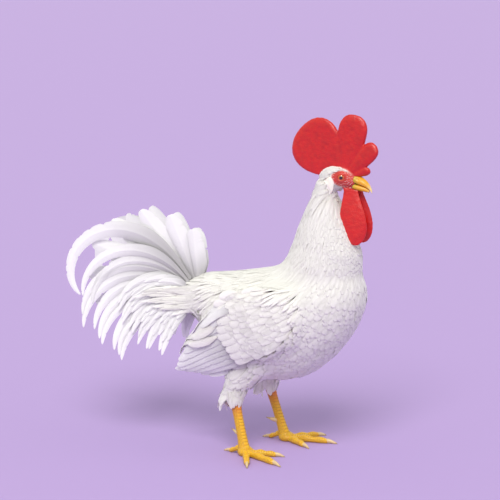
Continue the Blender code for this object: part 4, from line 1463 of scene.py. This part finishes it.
def scatterCoverts(rng):
    kept = []
    for along, across in rng.uniform((-4, -1), (coverts["until"], 1), (6000, 2)):
        above, below = [max(reach, 7) for reach in wingOutline(along)[:2]]
        chord = across * (coverts["above"] * above if across > 0 else coverts["below"] * below)
        gap = coverts["spacing"] + 0.02 * along
        if all((along - a) ** 2 + (chord - c) ** 2 > gap**2 for a, c in kept):
            kept.append((along, chord))
    return np.array(kept)


def wingCoverts(side, rng):
    small = scatterCoverts(rng)
    long = coverts["length"] * (1 + 0.005 * small[:, 0]) * rng.uniform(0.88, 1.12, len(small))
    turn = small[:, 1] / 190 + rng.uniform(-0.12, 0.12, len(small))
    ends = small + np.stack([long, long * turn], -1)
    inside = ends[:, 1] > -coverts["tips"] * wingOutline(ends[:, 0])[1]  # none past the lower edge
    root, tip = [small[inside]], [ends[inside]]
    small, n = small[inside], sum(inside)
    halfWidth = [coverts["halfWidth"] * (1 + 0.004 * small[:, 0]) * rng.uniform(0.9, 1.1, n)]
    lift = [np.stack([np.full(n, coverts["rootLift"][0]), rng.uniform(0.3, 0.9, n)], -1)]
    bow = [rng.uniform(-1.0, 1.0, n)]
    for tips, length, wide, gap, height in coverts["rows"]:
        depths = wingOutline(tips - 12)[:2]
        above, below = [coverts["rowDepth"] * reach for reach in depths]
        chord = np.arange(-below, above, gap) + rng.uniform(0, gap * 0.3)
        n = len(chord)
        chord = chord + rng.uniform(-1.2, 1.2, n)
        ends = tips - coverts["rowCurve"] * (chord / 55) ** 2 + rng.uniform(-3.5, 3.5, n)
        root.append(np.stack([np.maximum(2, ends - length), chord * coverts["rowGather"]], -1))
        tip.append(np.stack([ends, chord], -1))
        halfWidth.append(wide * rng.uniform(0.9, 1.08, n))
        tipLift = height + 0.012 * chord + rng.uniform(-0.15, 0.15, n)
        lift.append(np.stack([np.full(n, coverts["rootLift"][1]), tipLift], -1))
        bow.append(coverts["rowBow"] + rng.uniform(-0.8, 0.8, n))
    wingVanes(
        f"wingCoverts.{side}", sides[side], contourPlume, coverts,
        *[np.concatenate(v) for v in (root, tip, bow, halfWidth, lift)], rng,
    )


def spanned(own, k, *keys):
    # from the first feather's value to the last one's, for each key
    return [own[key][0] + (own[key][1] - own[key][0]) * k for key in keys]


def wingQuills(kind, side, rng):
    own = quill | flight[kind]
    k = np.linspace(0, 1, own["count"])
    root = np.stack(spanned(own, k, "rootAlong", "rootChord"), -1)
    tip = np.stack([np.interp(k, *own["tipAlong"]), np.interp(k, *own["tipChord"])], -1)
    lift = np.stack(spanned(own, k, "rootLift", "tipLift"), -1)
    made = wingVanes(
        f"{kind}.{side}", sides[side], quillPlume, own, root, tip,
        *spanned(own, k, "bow", "halfWidth"), lift, rng,
    )
    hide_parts(f"wing_{side}_{kind}")


for side in sides:
    wingDraws = np.random.default_rng(31)
    wingCoverts(side, wingDraws)
    wingQuills("secondaries", side, wingDraws)
    wingQuills("primaries", side, wingDraws)


# the tail

tailShape = {
    "root": (-108, 236),  # ahead, up
    "layer": {"fan": 2.5, "sickle": 8.5, "lesser": 13.5, "coverts": 19.0},  # mm from the midline at the root
    # degrees out from the midline: least, most, the slope it starts from and over how many degrees
    "spread": (2.5, 18, 80, 110),
    # a pair holds the highest feather's value and the lowest one's
    # heading: degrees above straight back; curl: degrees that it turns down by its tip, nearer to the tip
    # for a higher late; out: mm from its layer; slits: about how many in each half of the vane
    "fan": {
        "count": 7, "heading": (84, 0), "length": (98, 158), "longer": 0.35, "curl": (-2, 16),
        "out": (1.5, -1.5), "halfWidth": 17.5,
        "late": 1.2, "stations": 60, "point": 0.3, "slits": 1.5, "thick": 0.6,
    },
    "sickle": {
        "heading": 57, "length": 312, "curl": 196, "halfWidth": 14.5,
        "late": 1.9, "stations": 110, "point": 0.85, "slits": 4, "thick": 0.6,
    },
    "lesser": {
        "count": 10, "heading": (52, -14), "length": (250, 168), "curl": (150, 80),
        "out": (2, -2), "halfWidth": (11.5, 11),
        "late": 1.6, "stations": 72, "point": 0.9, "slits": 2, "thick": 0.6,
    },
    "coverts": {
        "rows": [(12, 1.0), (13, 0.8), (12, 0.62), (10, 0.45)],  # how many, and their share of the length
        "heading": (46, -54), "length": (150, 104), "curl": (120, 30), "halfWidth": 8.6, "rowGap": 1.5,
        "late": 1.3, "stations": 40, "point": 0.9, "slits": 1, "thick": 0.5,
    },
}
tailColumns = (-1, -0.7, -0.4, -0.06, 0, 0.06, 0.4, 0.7, 1)


def plumeTrack(heading, length, curl, late, steps):
    # ahead and up along feathers that leave the root at these headings above straight back, feathers x steps
    share = (np.arange(steps) + 0.5) / steps
    angle = np.radians(heading[:, None] - curl[:, None] * share[None] ** late)
    step = (length / steps)[:, None]
    zero = np.zeros((len(heading), 1))
    ahead = tailShape["root"][0] - np.concatenate([zero, np.cumsum(step * np.cos(angle), 1)], 1)
    up = tailShape["root"][1] + np.concatenate([zero, np.cumsum(step * np.sin(angle), 1)], 1)
    return ahead, up


def tailSide(ahead, up, layer):
    back, rise = tailShape["root"][0] - ahead, up - tailShape["root"][1]
    least, most, steep, span = tailShape["spread"]
    slope = np.degrees(np.arctan2(rise, back))
    spread = least + (most - least) * np.clip((steep - slope) / span, 0, 1)
    return layer + np.hypot(back, rise) * np.tan(np.radians(spread))


def tailVanes(kind, side, layer, plumes, halfWidth, rng):
    # plumes: rows of heading, length, curl and how far out of its layer each lies
    sign, own = sides[side], tailShape[layer]
    stations = own["stations"]
    heading, length, curl, out = plumes.T
    n, steps = len(plumes), 120
    start = 0.07  # share of the length that is bare quill, in the body
    ahead, up = plumeTrack(heading, length, curl, own["late"], steps)
    shares = start + (1 - start) * tipward(stations)
    spot = shares * steps
    low = np.minimum(spot.astype(int), steps - 1)
    part = (spot - low)[None]
    ahead = ahead[:, low] * (1 - part) + ahead[:, low + 1] * part
    up = up[:, low] * (1 - part) + up[:, low + 1] * part
    base = tailShape["layer"][layer] + out[:, None]

    def place(ahead, up):
        return world(ahead, sign * tailSide(ahead, up, base), up)

    centre = place(ahead, up)
    normal = unit(np.cross(place(ahead + 1, up) - centre, place(ahead, up + 1) - centre))
    normal *= np.sign(normal[..., :1] * sign)
    for _ in range(6):
        normal[:, 1:-1] = unit(normal[:, 1:-1] + normal[:, 2:] + normal[:, :-2])
    share = np.broadcast_to(tipward(stations), (n, stations))
    half = (halfWidth * mm)[:, None] * widthAlong(share, own["point"])
    half = half[..., None] * (1 - slitsIn(n, stations, own["slits"], rng))
    uv = np.stack([(heading + 90) / 200, 0.1 + 0.8 * (np.arange(n) + 0.5) / n], -1)
    return vanes(
        f"{kind}.{side}", quillPlume, centre, normal, half, tailColumns, (-0.5, 0, 0.5),
        np.full((n, 1), own["thick"]), uv, rng.uniform(*plumageLook["tints"], n),
        camber=0.12, slant=0.75, shaft=1.1,
    )


def tailFeathers(side):
    rng = np.random.default_rng(41)
    own = tailShape["fan"]
    k = np.linspace(0, 1, own["count"])
    heading, length, curl, out = spanned(own, k, "heading", "length", "curl", "out")
    plumes = np.stack([heading, length * (1 + own["longer"] * np.sin(math.pi * k)), curl, out], -1)
    width = np.full(len(k), own["halfWidth"])
    made = tailVanes("rectrices", side, "fan", plumes, width, rng)
    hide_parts(f"tail_fan_{side}")

    own = tailShape["sickle"]
    plumes = np.array([(own["heading"], own["length"], own["curl"], 0)], float)
    made = tailVanes("sickle", side, "sickle", plumes, np.array([own["halfWidth"]]), rng)
    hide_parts(f"tail_sickle_{side}")

    own = tailShape["lesser"]
    n = own["count"]
    k = np.linspace(0, 1, n)
    heading, length, curl, out, width = spanned(own, k, "heading", "length", "curl", "out", "halfWidth")
    heading = heading + rng.uniform(-1.5, 1.5, n)
    length = length * rng.uniform(0.86, 1.0, n)
    plumes = np.stack([heading, length, curl, out], -1)
    made = tailVanes("lesserSickles", side, "lesser", plumes, width, rng)
    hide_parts(f"tail_sickles_lesser_{side}")

    own = tailShape["coverts"]
    rows = []
    for layer, (count, share) in enumerate(own["rows"]):
        k = (np.arange(count) + 0.5) / count
        heading, length, curl = spanned(own, k, "heading", "length", "curl")
        heading = heading + rng.uniform(-2, 2, count)
        length = length * share * rng.uniform(0.9, 1.0, count)
        out = own["rowGap"] * (layer - 1) + rng.uniform(-0.4, 0.4, count)
        rows.append(np.stack([heading, length, curl * share, out], -1))
    plumes = np.concatenate(rows)
    width = np.full(len(plumes), own["halfWidth"])
    made = tailVanes("tailCoverts", side, "coverts", plumes, width, rng)
    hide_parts(f"tail_coverts_{side}")


for side in sides:
    tailFeathers(side)


# eyes, bill, claws and spurs

hardLook = {
    "iris": "#c8621a", "irisEdge": "#7c2f0c", "pupil": "#080606", "white": "#b9a79a",
    "pupilRadius": 2.2, "irisRadius": 5.0,  # mm
    "bill": "#e2a62a", "billTip": "#f0dca0", "billBase": "#b9a72c",
    "claw": "#d6bd8c", "clawTip": "#8c7450",
}


def colourBands(tree, value, ends, between):
    # the two end colours of a ramp over a value, with the stops between them
    ramp = addNode(tree, "ValToRGB", {0: value})
    stops = ramp.color_ramp.elements
    for stop, (at, colour) in zip(stops, ends):
        stop.position = at
        stop.color = linear(colour)
    for at, colour in between:
        stops.new(at).color = linear(colour)
    return ramp.outputs[0]


def uneven(tree, attribute, size, sway, **detail):
    # an attribute of the mesh, swayed by a fine grain of this size in mm
    place = addNode(tree, "Attribute", attribute_name=attribute)
    spots = {"Vector": addNode(tree, "TexCoord").outputs["Object"]}
    grain = addNode(tree, "TexNoise", spots, {"Scale": 1 / (size * mm), **detail}).outputs["Fac"]
    parts = {0: grain, 2: place.outputs["Fac"]}
    return grain, addNode(tree, "Math", parts, {1: sway}, operation="MULTIPLY_ADD").outputs[0]


def eyeMaterial(side):
    # wet cornea over the iris: clear, very smooth, with the iris colour seen through it
    wet = {"Coat_Weight": 1.0, "Coat_Roughness": 0.02}
    made, tree, shader = newMaterial(f"wet eye.{side}", hardLook["iris"], 0.04, **wet)
    wavy = uneven(tree, "fromPupil", 0.9, 0.35, Detail=2.0)[1]
    whole = 8.0  # mm from the pupil's middle to the ramp's end
    share = addNode(tree, "Math", {0: wavy}, {1: whole}, operation="DIVIDE").outputs[0]
    pupil, iris = hardLook["pupilRadius"], hardLook["irisRadius"]
    rings = [
        (pupil - 0.15, "pupil"), (pupil + 0.2, "irisEdge"), (pupil + 1.1, "iris"),
        (iris - 0.7, "iris"), (iris, "irisEdge"), (iris + 0.8, "pupil"),
    ]
    colour = colourBands(
        tree, share, [(0.0, hardLook["pupil"]), (1.0, hardLook["white"])],
        [((at + 0.17) / whole, hardLook[kind]) for at, kind in rings],
    )
    tree.links.new(colour, shader.inputs["Base Color"])
    return made


for side, sign in sides.items():
    axis = eyeAxis(sign)
    flat = unit(headAhead - axis * (headAhead @ axis))
    high = np.cross(axis, flat)
    pole, steps = 0.02, 64
    turn = np.linspace(pole, math.pi - pole, steps)[:, None]
    spin = np.linspace(0, 2 * math.pi, steps, endpoint=False)[None]
    cornea = 0.55 * np.exp(-((np.degrees(turn) / 24) ** 2))  # mm that it stands out
    radius = headShape["eyeRadius"] + cornea
    rings = eyeCentre[side] + (
        axis * (np.cos(turn) * radius * (spin * 0 + 1))[..., None]
        + flat * (np.sin(turn) * radius * np.cos(spin))[..., None]
        + high * (np.sin(turn) * radius * np.sin(spin))[..., None]
    ) * mm
    eye = makeObject(f"eye.{side}", *tube(rings))
    off = meshPoints(eye.data) - eyeCentre[side]
    keepOn(eye, "fromPupil", np.linalg.norm(np.cross(off, axis), axis=1) / mm + 20 * ((off @ axis) < 0))
    eye.data.materials.append(eyeMaterial(side))
    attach(eye, "root")
    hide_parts(f"eye_{side}")
print("eyes 2")


billShape = {
    # ahead, top, bottom, half width
    "upper": [(19.5, 10.2, -4.2, 9.2), (26, 8.8, -4.8, 8.0), (32, 6.9, -5.4, 6.8), (38, 3.6, -6.2, 5.2),
              (43.5, -1.2, -7.8, 3.4), (47.5, -6.6, -10.6, 1.7), (48.8, -10.2, -12.6, 0.6)],
    "lower": [(19.5, -2.8, -12.4, 7.8), (27, -3.2, -12.4, 6.6), (34, -4.2, -12.2, 5.3),
              (40, -5.8, -11.9, 3.4), (44, -8.4, -11.8, 1.4)],
    "horn": (19.5, 29),  # where its colours start, and over how many mm they run
    "nostril": (25.5, 4.6),  # ahead, up
    "nostrilSize": (3.0, 1.15, 1.5, 0.35),  # mm: length, height, depth and how far its rim stands out
}


def hornMaterial(name, base, middle, tip, reach):
    # keratin horn, grown in layers: waxy and smooth, paler and clearer towards the tip
    waxy = {"Subsurface_Weight": 0.12, "Subsurface_Scale": 0.002, "IOR": 1.54}
    made, tree, shader = newMaterial(name, middle, 0.34, **waxy)
    grain, along = uneven(tree, "along", 3, 0.12)
    colour = colourBands(tree, along, [(0.06, base), (1.0, tip)], [(at, middle) for at in reach])
    tree.links.new(colour, shader.inputs["Base Color"])
    bump = addNode(tree, "Bump", {"Height": grain}, {"Strength": 0.25, "Distance": 0.15 * mm})
    tree.links.new(bump.outputs[0], shader.inputs["Normal"])
    return made


billHorn = hornMaterial("bill horn", hardLook["billBase"], hardLook["bill"], hardLook["billTip"], (0.3, 0.7))
clawHorn = hornMaterial("claw horn", hardLook["claw"], hardLook["claw"], hardLook["clawTip"], (0.4, 0.6))


def bill(which):
    rings = []
    for ahead, top, bottom, half in between(billShape[which], 10):
        middle, reach = (top + bottom) / 2, (top - bottom) / 2
        across, up = oval(48, half, reach, reach)
        if which == "upper":  # a ridge along the culmen and a sharp cutting edge
            across = across * (1 - 0.22 * np.clip(up / reach, 0, 1) ** 2)
            up = np.where(up < -0.55 * reach, -0.55 * reach + (up + 0.55 * reach) * 0.4, up)
        rings.append(headPoint(ahead, across, middle + up))
    points, faces = tube(np.array(rings))
    if which == "upper":
        ahead, left, up = toHead(points).T
        slitAhead, slitUp = billShape["nostril"]
        length, height, depth, rim = billShape["nostrilSize"]
        slit = np.hypot((ahead - slitAhead) / length, (up - slitUp + 0.25 * (ahead - 25)) / height)
        inward = depth * np.exp(-slit**3) - rim * np.exp(-(((slit - 1.6) / 0.5) ** 2))
        points -= headLeft * (np.sign(left) * inward)[:, None] * mm
    made = makeObject(f"bill.{which}", points, faces)
    start, long = billShape["horn"]
    keepOn(made, "along", np.clip((toHead(points)[:, 0] - start) / long, 0, 1) * 0.9)
    made.data.materials.append(billHorn)
    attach(made, "root")
    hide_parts("bill_" + which)


for which in ("upper", "lower"):
    bill(which)


clawShape = {
    "bend": 1.25, "drop": 0.62, "width": 0.80, "tip": 0.35,  # radians, share of its length, of the toe, mm
    # where on the shank, mm: length, radius at its base, rise at the tip, and ahead and out along its length
    "spur": {"at": 0.36, "length": 22, "radius": 4.6, "rise": 5, "run": (0.86, 0.42)},
}


def horny(name, rings, node):
    points, faces = tube(np.array(rings))
    made = makeObject(name, points, faces)
    along = np.repeat(np.linspace(0, 1, len(rings)), len(rings[0]))
    keepOn(made, "along", np.concatenate([along, [0, 1]]) * 0.9)
    made.data.materials.append(clawHorn)
    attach(made, "root")
    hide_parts(node)


for side, sign in sides.items():
    bend = clawShape["bend"]
    for name, (out, length, thick, claw) in legShape["toes"].items():
        radius, height = toeSection(thick, 1)
        rings = []
        for share in np.linspace(-0.12, 1, 24):
            outside = max(share, 0)
            along = length + 0.3 + claw * math.sin(share * bend) / math.sin(bend)
            size = radius * clawShape["width"] * (1 - outside) ** 0.8 + clawShape["tip"]
            drop = height + 1.0 - clawShape["drop"] * claw * (1 - math.cos(outside * bend))
            a, b = oval(20, size * 0.8, size, size)
            turn = legShape["footYaw"][side] + out
            rings.append(footPoint(side, turn, along, max(drop, size * 0.9) + b, a))
        horny(f"claw.{name}.{side}", rings, f"claw_{name}_{side}")
    spur = clawShape["spur"]
    foot, hock = footMiddle(side), legShape["hock"][side]
    base = [foot[k] + (hock[k] - foot[k]) * spur["at"] for k in (0, 1)]
    rings = []
    for share in np.linspace(0, 1, 24):
        size = spur["radius"] * (1 - share) ** 0.85 + clawShape["tip"]
        a, b = oval(20, size * 0.9, size, size)
        ahead, out = [k - spur["length"] * share * run for k, run in zip(base, spur["run"])]
        up = hock[2] * spur["at"] - 3 + spur["rise"] * share**2
        rings.append(world(ahead - 0.4 * a, sign * (out + a), up + b))
    horny(f"spur.{side}", rings, f"spur_{side}")
print("bill 2 pieces, claws 8, spurs 2")


# floor, light and camera

stage = {
    "floor": "#af97cc", "sky": "#fefffa", "skyStrength": 0.78,
    "sun": 2.3, "sunColour": "#fffdf6", "sunSoft": 30,  # degrees across
    "sunFrom": (-0.75, -0.16, 0.86),
    "azimuth": -70, "elevation": 10, "distance": 2.6, "acrossFrame": 0.755,  # m seen across at the bird
    "aim": (-27, 0, 306),  # ahead, left, up
}
floorReach = 40  # m
floorCorners = np.array([(-1, -1, 0), (1, -1, 0), (1, 1, 0), (-1, 1, 0)], float) * floorReach
floor = makeObject("floor", floorCorners, [np.array([[0, 1, 2, 3]])])
# matt wall paint: rough, no gloss
floor.data.materials.append(newMaterial("matt painted floor", stage["floor"], 0.9)[0])

sky = bpy.data.worlds.new("soft white room")
sky.use_nodes = True
background = sky.node_tree.nodes["Background"]
background.inputs[0].default_value = linear(stage["sky"])
background.inputs[1].default_value = stage["skyStrength"]
bpy.context.scene.world = sky

sun = bpy.data.objects.new("broad soft lamp", bpy.data.lights.new("broad soft lamp", "SUN"))
sun.data.energy = stage["sun"]
sun.data.color = linear(stage["sunColour"])[:3]
sun.data.angle = math.radians(stage["sunSoft"])
sun.rotation_euler = Vector(stage["sunFrom"]).to_track_quat("Z", "Y").to_euler()
bpy.context.scene.collection.objects.link(sun)

camera = bpy.data.objects.new("camera", bpy.data.cameras.new("camera"))
turn, rise = math.radians(stage["azimuth"]), math.radians(stage["elevation"])
out = Vector((math.sin(turn) * math.cos(rise), -math.cos(turn) * math.cos(rise), math.sin(rise)))
aim = Vector(world(*stage["aim"]))
camera.location = aim + out * stage["distance"]
camera.rotation_euler = out.to_track_quat("Z", "Y").to_euler()
camera.data.lens = camera.data.sensor_width * stage["distance"] / stage["acrossFrame"]
camera.data.clip_end = 200
bpy.context.scene.collection.objects.link(camera)
bpy.context.scene.camera = camera
bpy.context.scene.view_settings.view_transform = "Standard"
print("floor, light and camera")

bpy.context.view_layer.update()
shown = [o.data for o in bpy.data.objects if o.type == "MESH" and not o.hide_render]
print("triangles", sum(len(p.vertices) - 2 for mesh in shown for p in mesh.polygons))
